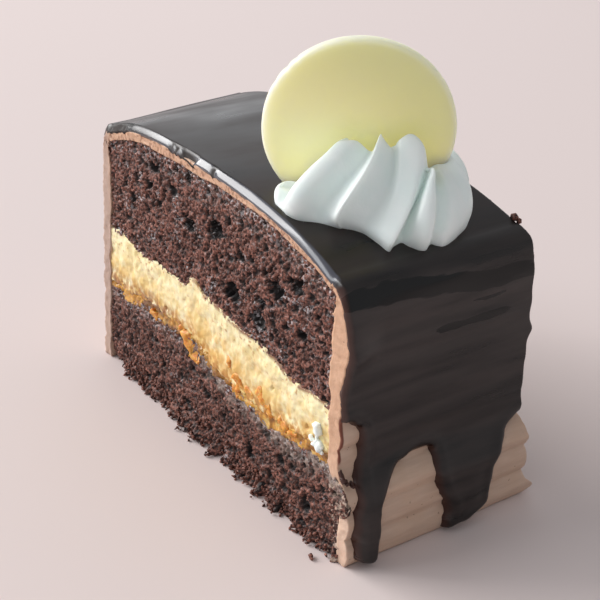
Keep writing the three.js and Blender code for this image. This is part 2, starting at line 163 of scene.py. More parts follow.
class NodeWork:
    """A node tree in the making, with short ways to the nodes that shapes and finishes share."""

    def __init__(self, tree):
        self.tree = tree

    def add(self, kind, inputs=None, **settings):
        """A node with its settings; each input, by name or place, is a value to set or a socket to link."""
        node = self.tree.nodes.new(kind)
        for label, value in settings.items():
            setattr(node, label, value)
        for label, value in (inputs or {}).items():
            self.fill(node.inputs[label], value)
        return node

    def fill(self, socket, value):
        if isinstance(value, bpy.types.NodeSocket):
            self.tree.links.new(value, socket)
        else:
            socket.default_value = value

    def math(self, operation, first, second):
        return self.add("ShaderNodeMath", {0: first, 1: second}, operation=operation).outputs[0]

    def times(self, first, *others):
        for other in others:
            first = self.math("MULTIPLY", first, other)
        return first

    def ranged(self, value, low, high, start=0.0, stop=1.0):
        """The value carried from low and high to start and stop, and held there beyond them."""
        return self.add("ShaderNodeMapRange", {0: value, 1: low, 2: high, 3: start, 4: stop}).outputs[0]

    def vector(self, operation, first, second):
        return self.add("ShaderNodeVectorMath", {0: first, 1: second}, operation=operation).outputs[0]

    def scaled(self, place, factor):
        return self.add("ShaderNodeVectorMath", {0: place, "Scale": factor}, operation="SCALE").outputs[0]

    def parts(self, place):
        return self.add("ShaderNodeSeparateXYZ", {0: place}).outputs

    def joined(self, x=0.0, y=0.0, z=0.0):
        return self.add("ShaderNodeCombineXYZ", {0: x, 1: y, 2: z}).outputs[0]

    def noise(self, place, scale, detail, roughness=0.5):
        inputs = {"Vector": place, "Scale": scale, "Detail": detail, "Roughness": roughness}
        return self.add("ShaderNodeTexNoise", inputs).outputs

    def mixed(self, share, first, second, blend="MIX"):
        """Two colours mixed by a share; a colour is a socket, or its red, green and blue."""
        first, second = ((*colour, 1.0) if isinstance(colour, tuple) else colour
                         for colour in (first, second))
        inputs = {0: share, 6: first, 7: second}
        return self.add("ShaderNodeMix", inputs, data_type="RGBA", blend_type=blend).outputs[2]


class ShapeTree(NodeWork):
    """A shape tree with its named sizes, which ends in one realized mesh with its finish."""

    def __init__(self, name, sizes):
        super().__init__(bpy.data.node_groups.new(name, "GeometryNodeTree"))
        sockets = self.tree.interface
        sockets.new_socket("Geometry", in_out="INPUT", socket_type="NodeSocketGeometry")
        for label, value in sizes.items():
            sockets.new_socket(label, in_out="INPUT", socket_type="NodeSocketFloat").default_value = value
        sockets.new_socket("Finish", in_out="INPUT", socket_type="NodeSocketMaterial")
        sockets.new_socket("Geometry", in_out="OUTPUT", socket_type="NodeSocketGeometry")
        self.inlets = self.tree.nodes.new("NodeGroupInput").outputs
        self.place = self.add("GeometryNodeInputPosition").outputs[0]

    def point_value(self, label):
        return self.add("GeometryNodeInputNamedAttribute", {"Name": label}, data_type="FLOAT").outputs[0]

    def moved(self, geometry, offset):
        return self.add("GeometryNodeSetPosition", {"Geometry": geometry, "Offset": offset}).outputs[0]

    def realized(self, geometry):
        return self.add("GeometryNodeRealizeInstances", {"Geometry": geometry}).outputs[0]

    def end_with(self, geometry):
        inputs = {"Geometry": self.realized(geometry), "Material": self.inlets["Finish"]}
        finished = self.add("GeometryNodeSetMaterial", inputs)
        self.add("NodeGroupOutput", {0: finished.outputs[0]})
        return self.tree


def shape_by(piece, tree, finish, **sizes):
    """Runs a shape tree on a piece and keeps the result as its plain mesh; Pore_Size stands for Pore Size.
    Nothing is left below the floor."""
    modifier = piece.modifiers.new(tree.name, "NODES")
    modifier.node_group = tree
    wanted = {label.replace("_", " "): value for label, value in sizes.items()}
    wanted["Finish"] = finish
    for socket in tree.interface.items_tree:
        if socket.in_out == "INPUT" and socket.name in wanted:
            modifier[socket.identifier] = wanted[socket.name]
    graph = bpy.context.evaluated_depsgraph_get()
    shaped = bpy.data.meshes.new_from_object(piece.evaluated_get(graph))
    piece.modifiers.clear()
    piece.data = shaped
    shaped.materials.clear()
    shaped.materials.append(finish)
    points = np.empty(3 * len(shaped.vertices), np.float32)
    shaped.vertices.foreach_get("co", points)
    points[2::3] = np.maximum(points[2::3], 0)
    shaped.vertices.foreach_set("co", points)
    shaped.shade_smooth()


def make_crumb_tree():
    """Torn crumb on the cut faces: round pores of three sizes, ragged grains between and slow tearing."""
    crumb = ShapeTree("torn crumb", {"Pore Size": 1.6, "Pore Depth": 0.6, "Grain Size": 0.7,
                                     "Grain Depth": 0.4, "Tearing": 0.3, "Seed": 0.0})
    sizes = crumb.inlets
    seeded = crumb.vector("ADD", crumb.scaled(crumb.place, 1 / MM), sizes["Seed"])
    cut = crumb.point_value("cut")
    depth = crumb.point_value("hole")
    spots = crumb.parts(seeded)
    sideways = crumb.math("ADD", spots[0], crumb.times(cut, PATTERNS_APART))
    on_face = crumb.joined(sideways, spots[2])
    for coarseness, share in ((0.62, 0.7), (1.0, 1.0), (2.2, 1.0)):
        pitch = crumb.math("DIVIDE", 1 / coarseness, sizes["Pore Size"])
        pores = crumb.add("ShaderNodeTexVoronoi", {"Vector": on_face, "Scale": pitch},
                          voronoi_dimensions="2D")
        chance = crumb.parts(pores.outputs["Color"])[0]
        reach = crumb.math("DIVIDE", pores.outputs["Distance"], crumb.ranged(chance, 0, 1, 0.05, 0.52))
        pit = crumb.add("ShaderNodeMapRange", {0: reach, 1: 0.45, 2: 1.0, 3: 1.0, 4: 0.0},
                        interpolation_type="SMOOTHSTEP").outputs[0]
        pit = crumb.times(pit, crumb.math("ADD", chance, 0.25), share)
        depth = crumb.math("ADD", depth, crumb.times(pit, sizes["Pore Depth"]))
    grain_pitch = crumb.math("DIVIDE", 1.0, sizes["Grain Size"])
    ragged = crumb.ranged(crumb.noise(seeded, grain_pitch, 3.0, 0.6)[0], 0.36, 0.66)
    depth = crumb.math("ADD", depth, crumb.times(ragged, sizes["Grain Depth"]))
    slow = crumb.math("SUBTRACT", crumb.noise(seeded, 0.22, 3.0)[0], 0.45)
    depth = crumb.math("ADD", depth, crumb.times(slow, sizes["Tearing"], 2.0))
    jitter = crumb.vector("SUBTRACT", crumb.noise(seeded, grain_pitch, 1.0)["Color"], (0.5, 0.5, 0.5))
    aside = crumb.scaled(jitter, crumb.times(cut, cut, sizes["Grain Depth"]))
    sunk = crumb.joined(y=crumb.times(cut, depth, -1.0))
    offset = crumb.scaled(crumb.vector("ADD", aside, sunk), MM)
    kept = crumb.add("GeometryNodeStoreNamedAttribute",
                     {"Geometry": sizes["Geometry"], "Name": "hollow", "Value": depth},
                     data_type="FLOAT", domain="POINT").outputs[0]
    return crumb.end_with(crumb.moved(kept, offset))


crumb_tree = make_crumb_tree()


def hole_depth(x, z, holes, seed):
    """How deep the large burst bubbles reach at places on a cut face; a hole is its x, z and radius."""
    depth = np.zeros_like(x)
    ragged = 1 + 0.45 * clouds(x / 0.9, z / 0.9, seed) + 0.25 * clouds(x / 0.4, z / 0.4, seed + 2)
    for hole_x, hole_z, radius in holes:
        away = np.hypot((x - hole_x) / BUBBLE_LENGTH, z - hole_z) * ragged / radius
        depth = np.maximum(depth, BUBBLE_DEPTH * radius * np.sqrt(np.clip(1.1 - away, 0, 1)))
    return depth


def crumb_block(name, lower, upper, step, holes, seed, foot=None, smear=None):
    """A sponge layer between two levels, with fine cut faces in front and behind and plain hidden sides."""
    along_stops = np.linspace(0, 1, int(2 * HALF_LENGTH / step) + 1)
    across_stops = np.array([0, 0.07, 0.3, 0.5, 0.7, 0.93, 1])
    thickness = float(np.mean(upper(along_stops * 60 - 30, 0.0) - lower(along_stops * 60 - 30, 0.0)))
    rise_stops = np.linspace(0, 1, int(thickness / step) + 1)
    places, faces = block_sides((len(along_stops), len(across_stops), len(rise_stops)))
    along, across, rise = along_stops[places[0]], across_stops[places[1]], rise_stops[places[2]]
    nominal = HALF_LENGTH * (2 * along - 1)
    floor = lower(nominal, across)
    z = floor + (upper(nominal, across) - floor) * rise
    left = left_face(np.minimum(z, SHOULDER_Z)) + UNDER_COAT
    right = right_face(z) - UNDER_COAT
    if smear is not None:
        right = right + smear(z, across)
    length_x = left + (right - left) * along
    x, y = plan(length_x, across)
    cut = np.where(across == 1, 1.0, 0.0) - np.where(across == 0, 1.0, 0.0)
    if foot is not None:
        y = y + cut * foot(length_x, z, across)
    chance = np.random.default_rng(seed)
    reaches = ((-38, 36), (z.min() + 3, z.max() - 4), (0.6, 1.9))
    behind = np.column_stack([chance.uniform(low, high, HOLES_BEHIND) for low, high in reaches])
    hole = np.where(cut < 0, hole_depth(length_x, z, holes, seed), hole_depth(length_x, z, behind, seed + 1))
    return make_piece(name, np.column_stack([x, y, z]), faces, cut=cut, rise=rise,
                      hole=np.where(cut == 0, 0, hole), along=length_x)


class Finish(NodeWork):
    """A material in the making: its colour is laid on coat by coat, by where a point lies on the object."""

    def __init__(self, name):
        self.material = bpy.data.materials.new(name)
        self.material.use_nodes = True
        super().__init__(self.material.node_tree)
        self.shader = self.tree.nodes["Principled BSDF"]
        self.place = self.scaled(self.add("ShaderNodeTexCoord").outputs["Object"], 1 / MM)

    def drawn_out(self, *scale):
        return self.add("ShaderNodeMapping", {"Vector": self.place, "Scale": scale}).outputs[0]

    def patches(self, pitch, low, high, detail=2.0, place=None):
        """Chance patches of the given pitch in millimetres, 0 below low and 1 above high."""
        place = self.place if place is None else place
        return self.ranged(self.noise(place, 1 / pitch, detail)[0], low, high)

    def kept(self, label, low=0.0, high=1.0):
        """An attribute of the points, 0 at low and 1 at high."""
        return self.ranged(self.add("ShaderNodeAttribute", attribute_name=label).outputs["Fac"], low, high)

    def lay(self, colour, *shares):
        """Lays a colour over what is there, by the product of the shares."""
        self.colour = self.mixed(self.times(*shares), self.colour, colour)

    def give(self, **values):
        for label, value in values.items():
            self.fill(self.shader.inputs[label.replace("_", " ")], value)

    def soften(self, weight, depth, *reach):
        """Lets light into the surface to a depth in millimetres, by reach of red, green and blue."""
        self.give(Subsurface_Weight=weight, Subsurface_Scale=depth * MM, Subsurface_Radius=reach)

    def done(self, pitch, height, place=None):
        """The material, with fine bumps in the shader, below the size of the mesh."""
        place = self.place if place is None else place
        bumps = {"Height": self.noise(place, 1 / pitch, 3.0)[0], "Distance": height * MM, "Strength": 1.0}
        self.give(Base_Color=self.colour, Normal=self.add("ShaderNodeBump", bumps).outputs[0])
        return self.material


def make_chocolate_crumb(name, smear, damp_low, deep):
    """Chocolate crumb: red-brown grains, pores darkened by their depth as painted shade, moist glints painted
    pale grey as highlights and made less rough; smear greys the upper part, and deep is the shade of its
    darker patches."""
    crumb = Finish(name)
    grain = crumb.mixed(crumb.patches(0.5, 0.38, 0.66, 5.0), (0.026, 0.0085, 0.007), (0.42, 0.172, 0.122))
    shaded = crumb.mixed(1.0, grain, deep, "MULTIPLY")
    crumb.colour = crumb.mixed(crumb.patches(5.0, 0.3, 0.7), grain, shaded)
    # Painted shade: the pores and hollows of the torn crumb are darkened by how deep they lie.
    crumb.lay((0.009, 0.0052, 0.0052), crumb.kept("hollow", 0.2, 0.85))
    damp = crumb.patches(4.0, damp_low, damp_low + 0.15)
    damp = crumb.math("MAXIMUM", damp, crumb.kept("rise", 0.80, 0.96))
    # Painted highlight: the moist glints are painted pale grey as well as made less rough below.
    wet_with_painted_sheen = crumb.times(crumb.patches(0.7, 0.54, 0.60), damp)
    crumb.lay((0.51, 0.485, 0.50), wet_with_painted_sheen, 0.75)
    to_right = crumb.ranged(crumb.kept("along", -12, 4), 0, 1, 0.3, 1.0)
    pale = crumb.times(crumb.kept("rise", 0.68, 0.92), crumb.patches(2.2, 0.40, 0.56))
    crumb.lay((0.34, 0.265, 0.225), pale, to_right, smear)
    crumb.lay((0.52, 0.40, 0.32), crumb.kept("along", 40.6, 42.0), crumb.patches(0.9, 0.54, 0.62), 0.75)
    crumb.give(Roughness=crumb.ranged(wet_with_painted_sheen, 0, 1, 0.55, 0.16), Specular_IOR_Level=0.35)
    return crumb.done(0.3, 0.14)


def lower_smear(z, across):
    """Crumb dragged over the cream at the right end of the front cut."""
    ragged = 1 + 0.4 * clouds(z / 1.3, across, 15) + 0.3 * clouds(z / 0.5, across, 16)
    reach = np.minimum(3.9 * ragged, SMEAR_REACH + 0.4 * clouds(z / 0.7, across, 18))
    return reach * hump(z, SMEAR_Z, 3.6, 4) * (1 - smoothstep(0, 0.06, across))


def lower_foot(x, z, across):
    """Crumbs pressed out along the base; less at the left corner, where the base stays back."""
    low = 1 - smoothstep(0, FOOT_HEIGHT, z)
    ragged = 0.55 + 0.5 * clouds(x / 2.1, across * 7, 11) + 0.35 * clouds(x / 0.8, across * 9, 12)
    held = smoothstep(-46, -30, x)
    smeared = 0.28 * smoothstep(40, 42, x) * lower_smear(z, across)
    return low * low * (FOOT_REACH * np.maximum(ragged, -0.1) * held - 1.1 * (1 - held)) + smeared


def lower_floor(x, across):
    edge = np.maximum(0, np.abs(across - 0.5) * 2 - 0.9) / 0.1
    return edge * (0.35 + 0.35 * clouds(x / 1.3, across * 5, 13))


def lower_top(x, across):
    ragged = 0.5 * clouds(x / 2.3, across * 20, 14) + 0.2 * clouds(x / 0.8, across * 20, 17)
    return filling_bottom(x, across) - LOWER_LAP + ragged


lower_holes = [(-2.5, 12.0, 1.1), (4.5, 9.5, 0.9), (-20, 10, 0.9), (14, 6.5, 1.2), (25, 11, 1.0),
               (33, 6, 1.2), (-31, 12, 0.8), (-10, 5.5, 1.0), (20, 13.5, 0.8)]
lower_crumb = make_chocolate_crumb("lower_chocolate_crumb", 0.75, 0.60, (0.50, 0.46, 0.46))
lower_sponge = crumb_block("lower_chocolate_sponge", lower_floor, lower_top, CRUMB_STEP, lower_holes, 21,
                           lower_foot, lower_smear)
shape_by(lower_sponge, crumb_tree, lower_crumb, Pore_Size=1.1, Pore_Depth=0.5, Grain_Size=0.65,
         Grain_Depth=0.42, Tearing=0.5, Seed=3.0)
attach(lower_sponge, "root")
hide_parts("sponge_bottom_chocolate")


# Marmalade: a thin, wet, half-clear filling spread on the lower sponge, soaked brown in places and amber in
# others. Cut shreds of orange peel lie in it and show at both cut faces.
FILLING_STEP = 0.33
FILLING_RISE = 0.6
FILLING_LAP = 0.9
PEEL_SINKING = 0.020
PEEL_TURNED_ABOUT = 4.0
FRONT_PEEL = [(-8.6, 20.2, 1.7, 0.9), (-6.2, 18.4, 1.3, 0.3), (7.2, 23.6, 0.8, 1.2), (10.4, 20.4, 1.25, 1.2),
              (9.6, 18.2, 0.9, 0.9), (18.4, 21.2, 1.3, 0.6), (20.8, 19.6, 1.0, 1.0), (25.4, 18.9, 1.1, 0.3),
              (-23.0, 20.4, 0.8, 0.5), (29.0, 18.4, 0.9, -0.2), (14.4, 20.2, 0.9, 0.2),
              (-11.5, 21.8, 0.8, 0.4)]


def filling_top(x, across):
    return vanilla_bottom(x, across) + FILLING_RISE + 0.7 * clouds(x / 2.6, across * 20, 31)


def filling_floor(x, across):
    return filling_bottom(x, across) - FILLING_LAP


def make_marmalade():
    jam = Finish("soaked_marmalade")
    jam.colour = jam.mixed(jam.patches(2.4, 0.35, 0.62), (0.26, 0.105, 0.022), (0.66, 0.33, 0.055))
    jam.lay((0.72, 0.48, 0.15), jam.patches(1.5, 0.52, 0.68))
    jam.lay((0.17, 0.070, 0.028), jam.patches(6.0, 0.44, 0.60), jam.kept("along", 12, -12), 0.9)
    jam.give(Roughness=0.24)
    jam.soften(0.25, 1.2, 1.0, 0.4, 0.1)
    return jam.done(0.6, 0.12)


marmalade = make_marmalade()
filling = crumb_block("marmalade_filling", filling_floor, filling_top, FILLING_STEP, [], 41)
shape_by(filling, crumb_tree, marmalade, Pore_Size=2.2, Pore_Depth=0.4, Grain_Size=1.4, Grain_Depth=0.5,
         Tearing=0.6, Seed=5.0)
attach(filling, "root")
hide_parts("filling_marmalade")


def strewn(work, lump, turn, scale, detail, roughness):
    """A lump on each point, as large as the point's size, and made uneven by its place."""
    lumps = work.add("GeometryNodeInstanceOnPoints",
                     {"Points": work.inlets["Geometry"], "Instance": lump.outputs[0], "Rotation": turn,
                      "Scale": work.point_value("size")})
    chance = work.noise(work.place, scale, detail)["Color"]
    centred = work.vector("SUBTRACT", chance, (0.5, 0.5, 0.5))
    offset = work.scaled(centred, work.times(roughness, 2 * MM))
    return work.end_with(work.moved(work.realized(lumps.outputs[0]), offset))


def make_peel_tree():
    """Soft uneven lumps on the given points, longer than wide, each turned and sized by its point."""
    lumps = ShapeTree("peel lumps", {"Length": 2.7, "Width": 1.5, "Thickness": 1.7, "Unevenness": 0.9})
    size = lumps.joined(*(lumps.times(lumps.inlets[label], MM) for label in ("Length", "Width", "Thickness")))
    block = lumps.add("GeometryNodeMeshCube",
                      {"Size": size, "Vertices X": 3, "Vertices Y": 2, "Vertices Z": 2}).outputs[0]
    soft = lumps.add("GeometryNodeSubdivisionSurface", {"Mesh": block, "Level": 2, "Edge Crease": 0.6})
    turn = lumps.joined(lumps.point_value("tip"), lumps.point_value("turn"))
    return strewn(lumps, soft, turn, 0.8 / MM, 1.0, lumps.inlets["Unevenness"])


def make_peel():
    rind = Finish("orange_peel")
    rind.colour = rind.mixed(rind.patches(0.8, 0.35, 0.65), (0.60, 0.20, 0.022), (0.78, 0.40, 0.085))
    rind.give(Roughness=0.46)
    rind.soften(0.4, 0.8, 1.0, 0.35, 0.05)
    return rind.done(0.4, 0.06)


peel_rows = []
for peel_x, peel_z, peel_size, peel_turn in FRONT_PEEL:
    sunk = PEEL_SINKING * peel_size
    for peel_across, side_x in ((sunk, peel_x), (1 - sunk, PEEL_TURNED_ABOUT - peel_x)):
        ground_x, ground_y = plan(side_x, peel_across)
        behind = peel_across > 0.5
        level = vanilla_bottom(side_x, peel_across) - vanilla_bottom(peel_x, 0.0) if behind else 0.0
        peel_rows.append((ground_x, ground_y, peel_z + level, peel_size, peel_turn))
peel_rows = np.array(peel_rows)
peel = make_piece("orange_peel_shreds", peel_rows[:, :3], size=peel_rows[:, 3], turn=peel_rows[:, 4],
                  tip=np.linspace(-0.6, 0.6, len(peel_rows)))
peel_tree = make_peel_tree()
shape_by(peel, peel_tree, make_peel(), Length=3.0, Thickness=2.0)
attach(peel, "root")


# Vanilla sponge: the pale yellow middle layer. Its crumb is soft and fibrous where the knife dragged it, with
# a thin brown crust along its top and marmalade soaked into its lower edge.
VANILLA_TOP_Z = 32.6
VANILLA_STEP = 0.3
VANILLA_BUMP = 2.6
CRUST = 0.25


def vanilla_top(x, across):
    sag = 0.035 * x + 0.0008 * x * x
    return VANILLA_TOP_Z - sag + 0.9 * uneven(x, across, 0.8) + VANILLA_BUMP * hump(x, -6.2, 2.9, 4)


def vanilla_crown(x, across):
    return vanilla_top(x, across) + CRUST + 0.22 * clouds(x / 2.3, across * 20, 51)


def vanilla_floor(x, across):
    return vanilla_bottom(x, across) + 0.4 * clouds(x / 1.1, across * 20, 52)


def make_vanilla_crumb():
    """Pale fibres with buttery patches and painted shade in the hollows, then marmalade soaked and seeped up
    from below, amber and brown stains along the foot, a brown crust along the top, and brown specks."""
    crumb = Finish("vanilla_crumb")
    drawn = crumb.drawn_out(0.55, 1.0, 1.0)
    fibres = crumb.patches(1.1, 0.3, 0.7, 4.0, drawn)
    crumb.colour = crumb.mixed(fibres, (0.82, 0.69, 0.365), (0.91, 0.83, 0.55))
    crumb.lay((0.79, 0.60, 0.24), crumb.patches(3.2, 0.46, 0.66, place=drawn), 0.5)
    # Painted shade: the hollows of the torn crumb are darkened by their depth.
    crumb.lay((0.62, 0.42, 0.14), crumb.kept("hollow", 0.3, 0.8), 0.25)
    crumb.lay((0.71, 0.44, 0.11), crumb.kept("rise", 0.74, 0.24), crumb.patches(3.4, 0.36, 0.58), 0.85)
    in_middle = crumb.times(crumb.kept("along", -14, -2), crumb.kept("along", 27, 18))
    seeped = crumb.times(crumb.kept("rise", 0.92, 0.45), crumb.patches(2.4, 0.45, 0.60, 3.0))
    crumb.lay((0.72, 0.43, 0.12), seeped, in_middle, 0.6)
    crumb.lay((0.44, 0.17, 0.025), crumb.kept("rise", 0.36, 0.04), crumb.patches(1.7, 0.42, 0.54, 3.0), 0.85)
    stained = crumb.times(crumb.kept("rise", 0.32, 0.03), crumb.patches(1.8, 0.40, 0.54, 3.0))
    crumb.lay((0.30, 0.125, 0.045), stained, crumb.kept("along", -8, -18), 0.9)
    crust = crumb.times(crumb.kept("rise", 0.92, 0.98), crumb.patches(1.3, 0.38, 0.52))
    crumb.lay((0.22, 0.075, 0.028), crust, crumb.kept("along", -24, 0), 0.9)
    crumb.lay((0.50, 0.24, 0.08), crumb.patches(1.1, 0.60, 0.70), crumb.kept("rise", 0.35, 0.85), 0.75)
    crumb.give(Roughness=0.6)
    crumb.soften(0.25, 0.8, 1.0, 0.7, 0.3)
    return crumb.done(0.7, 0.06)


vanilla = make_vanilla_crumb()
vanilla_holes = [(-18, 24, 0.5), (4, 29, 0.5), (22, 25, 0.5), (33, 22.5, 0.6)]
vanilla_sponge = crumb_block("vanilla_sponge", vanilla_floor, vanilla_crown, VANILLA_STEP, vanilla_holes, 61)
shape_by(vanilla_sponge, crumb_tree, vanilla, Pore_Size=1.3, Pore_Depth=0.06, Grain_Size=2.6, Grain_Depth=0.3,
         Tearing=0.6, Seed=9.0)
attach(vanilla_sponge, "root")
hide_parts("sponge_middle_vanilla")


# Upper chocolate sponge: the thickest layer, an open red-brown crumb with burst bubbles up to 4 mm across and
# moist glints below the cream, shiny and painted pale grey as highlights. It lies loose on the vanilla layer
# and is held by the cream around it.
CROWN_X = -12.0
CROWN_Z = 60.1
RIGHT_FALL = 7.8
LEFT_FALL = 5.8
TOP_HALF = 39.6
TOP_COAT = 1.1
TOP_COAT_GAIN = 0.9
TOP_LAP = 0.3


def coat_top(x):
    right = np.maximum(x - CROWN_X, 0) / 55
    left = np.maximum(CROWN_X - x, 0) / 31
    return CROWN_Z - RIGHT_FALL * right**3.3 - LEFT_FALL * left**2.7


def top_coat(part):
    """Thickness of the cream on the top, from 0 at the right shoulder to 1 at the left one."""
    return TOP_COAT + TOP_COAT_GAIN * smoothstep(0, 0.7, part)


def upper_floor(x, across):
    return vanilla_top(x, across) - CRUST + 0.3 * clouds(x / 1.2, across * 20, 71)


def upper_top(x, across):
    top_x = x * TOP_HALF / HALF_LENGTH
    return coat_top(top_x) - top_coat((TOP_HALF - top_x) / (2 * TOP_HALF)) + TOP_LAP


upper_holes = [(-22, 53.5, 1.3), (-14, 51.5, 1.2), (-8, 56, 1.1), (-8, 46.5, 1.6), (-24, 49, 0.9),
               (-20, 46.5, 1.0), (-31, 44, 1.0), (2, 49, 1.9), (11, 47, 1.1), (7, 52.5, 0.9), (23, 45, 1.9),
               (29, 48.5, 1.5), (17, 36.5, 1.5), (8, 38.5, 1.8), (18, 40.5, 1.0), (31, 40, 1.1)]
upper_crumb = make_chocolate_crumb("upper_chocolate_crumb", 0.15, 0.52, (0.70, 0.66, 0.66))
upper_sponge = crumb_block("upper_chocolate_sponge", upper_floor, upper_top, CRUMB_STEP, upper_holes, 81)
shape_by(upper_sponge, crumb_tree, upper_crumb, Pore_Size=1.1, Pore_Depth=0.6, Grain_Size=0.65,
         Grain_Depth=0.38, Tearing=0.35, Seed=17.0)
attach(upper_sponge, "root")
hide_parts("sponge_top_chocolate")


# Mocha cream: a tan butter cream spread over both ends and thinly over the top, then drawn round with a
# toothed comb that left level ridges on the ends. The knife smeared its cut edges.
COMB_PITCH = 5.7
COMB_DEPTH = 0.95
COMB_WANDER = 0.35
COMB_DRAGGED = 0.65
END_COAT = 3.2
COAT_FLOOR = 0.15
FLAP_REACH = 2.6
EDGE_BULGES = [(1.9, 42.5, 5.4), (0.7, 26, 4.0)]
SHOULDER_STOPS = 15


def comb_groove(run, across, z):
    """Depth of the comb's grooves on the ends, which the glaze dragged nearly flat above the drips."""
    level = z + COMB_WANDER * clouds(across * 3.1, run * 0.4, 91)
    fade = (1 - COMB_DRAGGED * smoothstep(21, 28, level)) * (1 - smoothstep(42.3, SHOULDER_Z, level))
    groove = COMB_DEPTH * fade * (1 - np.abs(np.sin(math.pi * level / COMB_PITCH)) ** 0.8)
    return np.where((run < 1.3) | (run > 3.7), groove, 0.0)


def edge_bulge(run, across, z):
    """Cream that stands out at the right end of the front cut, where the knife pressed it aside."""
    near = np.where(run < 1.6, 1 - smoothstep(0, 0.2, across), 0)
    return near * sum(reach * hump(z, middle, width) for reach, middle, width in EDGE_BULGES)


def coat_section(run, out):
    """Section of the cream's skin moved outward: run 0 to 1 up the right end, 1 to 2 round its shoulder,
    2 to 3 over the top, 3 to 4 round the left shoulder, and 4 to 5 down the left end."""
    part = np.clip(run - np.minimum(np.floor(run), 4), 0, 1)
    end_height = SHOULDER_Z - COAT_FLOOR
    end_z = np.where(run < 2, COAT_FLOOR + end_height * part, SHOULDER_Z - end_height * part)
    top_x = TOP_HALF * (1 - 2 * part)
    turn = part * math.pi / 2
    right_reach = right_face(SHOULDER_Z) - TOP_HALF + out
    left_reach = -left_face(SHOULDER_Z) - TOP_HALF + out
    right_rise = coat_top(TOP_HALF) - SHOULDER_Z + out
    left_rise = coat_top(-TOP_HALF) - SHOULDER_Z + out
    stages = [run < 1, run < 2, run < 3, run < 4]
    x = np.select(stages, [right_face(end_z) + out, TOP_HALF + right_reach * np.cos(turn), top_x,
                           -TOP_HALF - left_reach * np.sin(turn)], left_face(end_z) - out)
    z = np.select(stages, [end_z, SHOULDER_Z + right_rise * np.sin(turn), coat_top(top_x) + out,
                           SHOULDER_Z + left_rise * np.cos(turn)], end_z)
    return x, z


def coat_thickness(run):
    right = END_COAT + (TOP_COAT - END_COAT) * smoothstep(0.8, 1.8, run)
    left_shoulder = TOP_COAT + TOP_COAT_GAIN
    left = left_shoulder + (END_COAT - left_shoulder) * smoothstep(3.2, 4.2, run)
    return np.select([run < 2, run < 3], [right, top_coat(run - 2)], left)


def run_stops(end_step, top_step):
    """Stops along the section with the given spacing in millimetres on the ends and on the top."""
    ends = np.linspace(0, 1, int(SHOULDER_Z / end_step) + 1)[:-1]
    shoulder = np.linspace(0, 1, SHOULDER_STOPS)[:-1]
    top = np.linspace(0, 1, int(2 * TOP_HALF / top_step) + 1)[:-1]
    return np.concatenate([ends, 1 + shoulder, 2 + top, 3 + shoulder, 4 + ends, [5.0]])


def make_mocha():
    """Tan streaks drawn round with the comb; the cut edges are smeared redder, paler low down and greyer at
    the left end, with crumb flecks near the top, and a red line of glaze runs beside the front corner."""
    cream = Finish("mocha_butter_cream")
    drawn = cream.drawn_out(1.0, 0.12, 1.0)
    streak = cream.patches(1.4, 0.35, 0.65, 3.0, drawn)
    cream.colour = cream.mixed(streak, (0.53, 0.372, 0.282), (0.62, 0.448, 0.342))
    cream.lay((0.555, 0.375, 0.265), cream.patches(5.0, 0.4, 0.65), 0.5)
    cut = cream.kept("cut_edge")
    smeared = cream.mixed(streak, (0.53, 0.31, 0.195), (0.61, 0.37, 0.24))
    smeared = cream.mixed(cream.kept("high", 24, 10), smeared, (0.63, 0.44, 0.33))
    to_left = cream.ranged(cream.parts(cream.place)[0], -36.0, -40.0)
    cream.lay(cream.mixed(to_left, smeared, (0.425, 0.295, 0.235)), cut)
    cream.lay((0.24, 0.10, 0.05), cut, cream.patches(0.8, 0.5, 0.62), cream.kept("high", 50, 53), 0.75)
    cream.lay((0.12, 0.05, 0.03), cream.patches(0.9, 0.71, 0.76), 0.6)
    cream.lay((0.17, 0.045, 0.022), cream.kept("glazed_line", 0.2, 0.7))
    cream.give(Roughness=0.52)
    cream.soften(0.12, 0.8, 1.0, 0.6, 0.4)
    return cream.done(0.5, 0.08, drawn)


coat_runs = run_stops(end_step=0.3, top_step=0.5)
coat_across = np.concatenate([[0, 0.006, 0.015], np.linspace(0.03, 0.97, 62), [0.985, 0.994, 1]])
coat_depths = np.linspace(0, 1, 11)
coat_places, coat_faces = block_sides((len(coat_across), len(coat_runs), len(coat_depths)))
coat_v = coat_across[coat_places[0]]
coat_run = coat_runs[coat_places[1]]
coat_in = coat_depths[coat_places[2]]
flat_z = coat_section(coat_run, 0.0)[1]
skin = edge_bulge(coat_run, coat_v, flat_z) - comb_groove(coat_run, coat_v, flat_z)
skin += 0.10 * clouds(coat_v * 4, flat_z / 0.8, 92) + 0.10 * clouds(coat_v * 12, flat_z / 3.0, 93)
inner_edge = coat_thickness(coat_run) * (1 + 0.13 * clouds(coat_run * 15, coat_v * 9, 94))
inner_edge += 0.10 * clouds(coat_run * 70, coat_v * 9, 95)
coat_x, coat_z = coat_section(coat_run, skin * coat_in - inner_edge * (1 - coat_in))
ground_x, ground_y = plan(coat_x, coat_v)
at_cut = np.where(coat_v == 0, -1.0, 0.0) + np.where(coat_v == 1, 1.0, 0.0)
smear = 0.04 + 0.12 * clouds(coat_run * 26, coat_in * 2.2 + coat_v * 7, 96)
smear += 0.08 * clouds(coat_run * 90, coat_in * 4, 97)
glazed_line = smoothstep(0.8, 0.95, coat_in) * (1 - smoothstep(0.004, 0.012, coat_v)) * (coat_run < 1)
glazed_line *= smoothstep(19.5, 21.5, coat_z) * (1 - smoothstep(29, 31, coat_z))
flap = np.where(coat_run < 1, FLAP_REACH * hump(coat_z, 1.9, 1.5) * smoothstep(0.92, 1.0, coat_v), 0)
ground_y = ground_y + at_cut * smear + flap
coat = make_piece("mocha_cream_coat", np.column_stack([ground_x, ground_y, coat_z]), coat_faces,
                  cut_edge=np.abs(at_cut), high=coat_z, glazed_line=glazed_line)
coat.data.materials.append(make_mocha())
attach(coat, "root")
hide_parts("coat_mocha_cream")


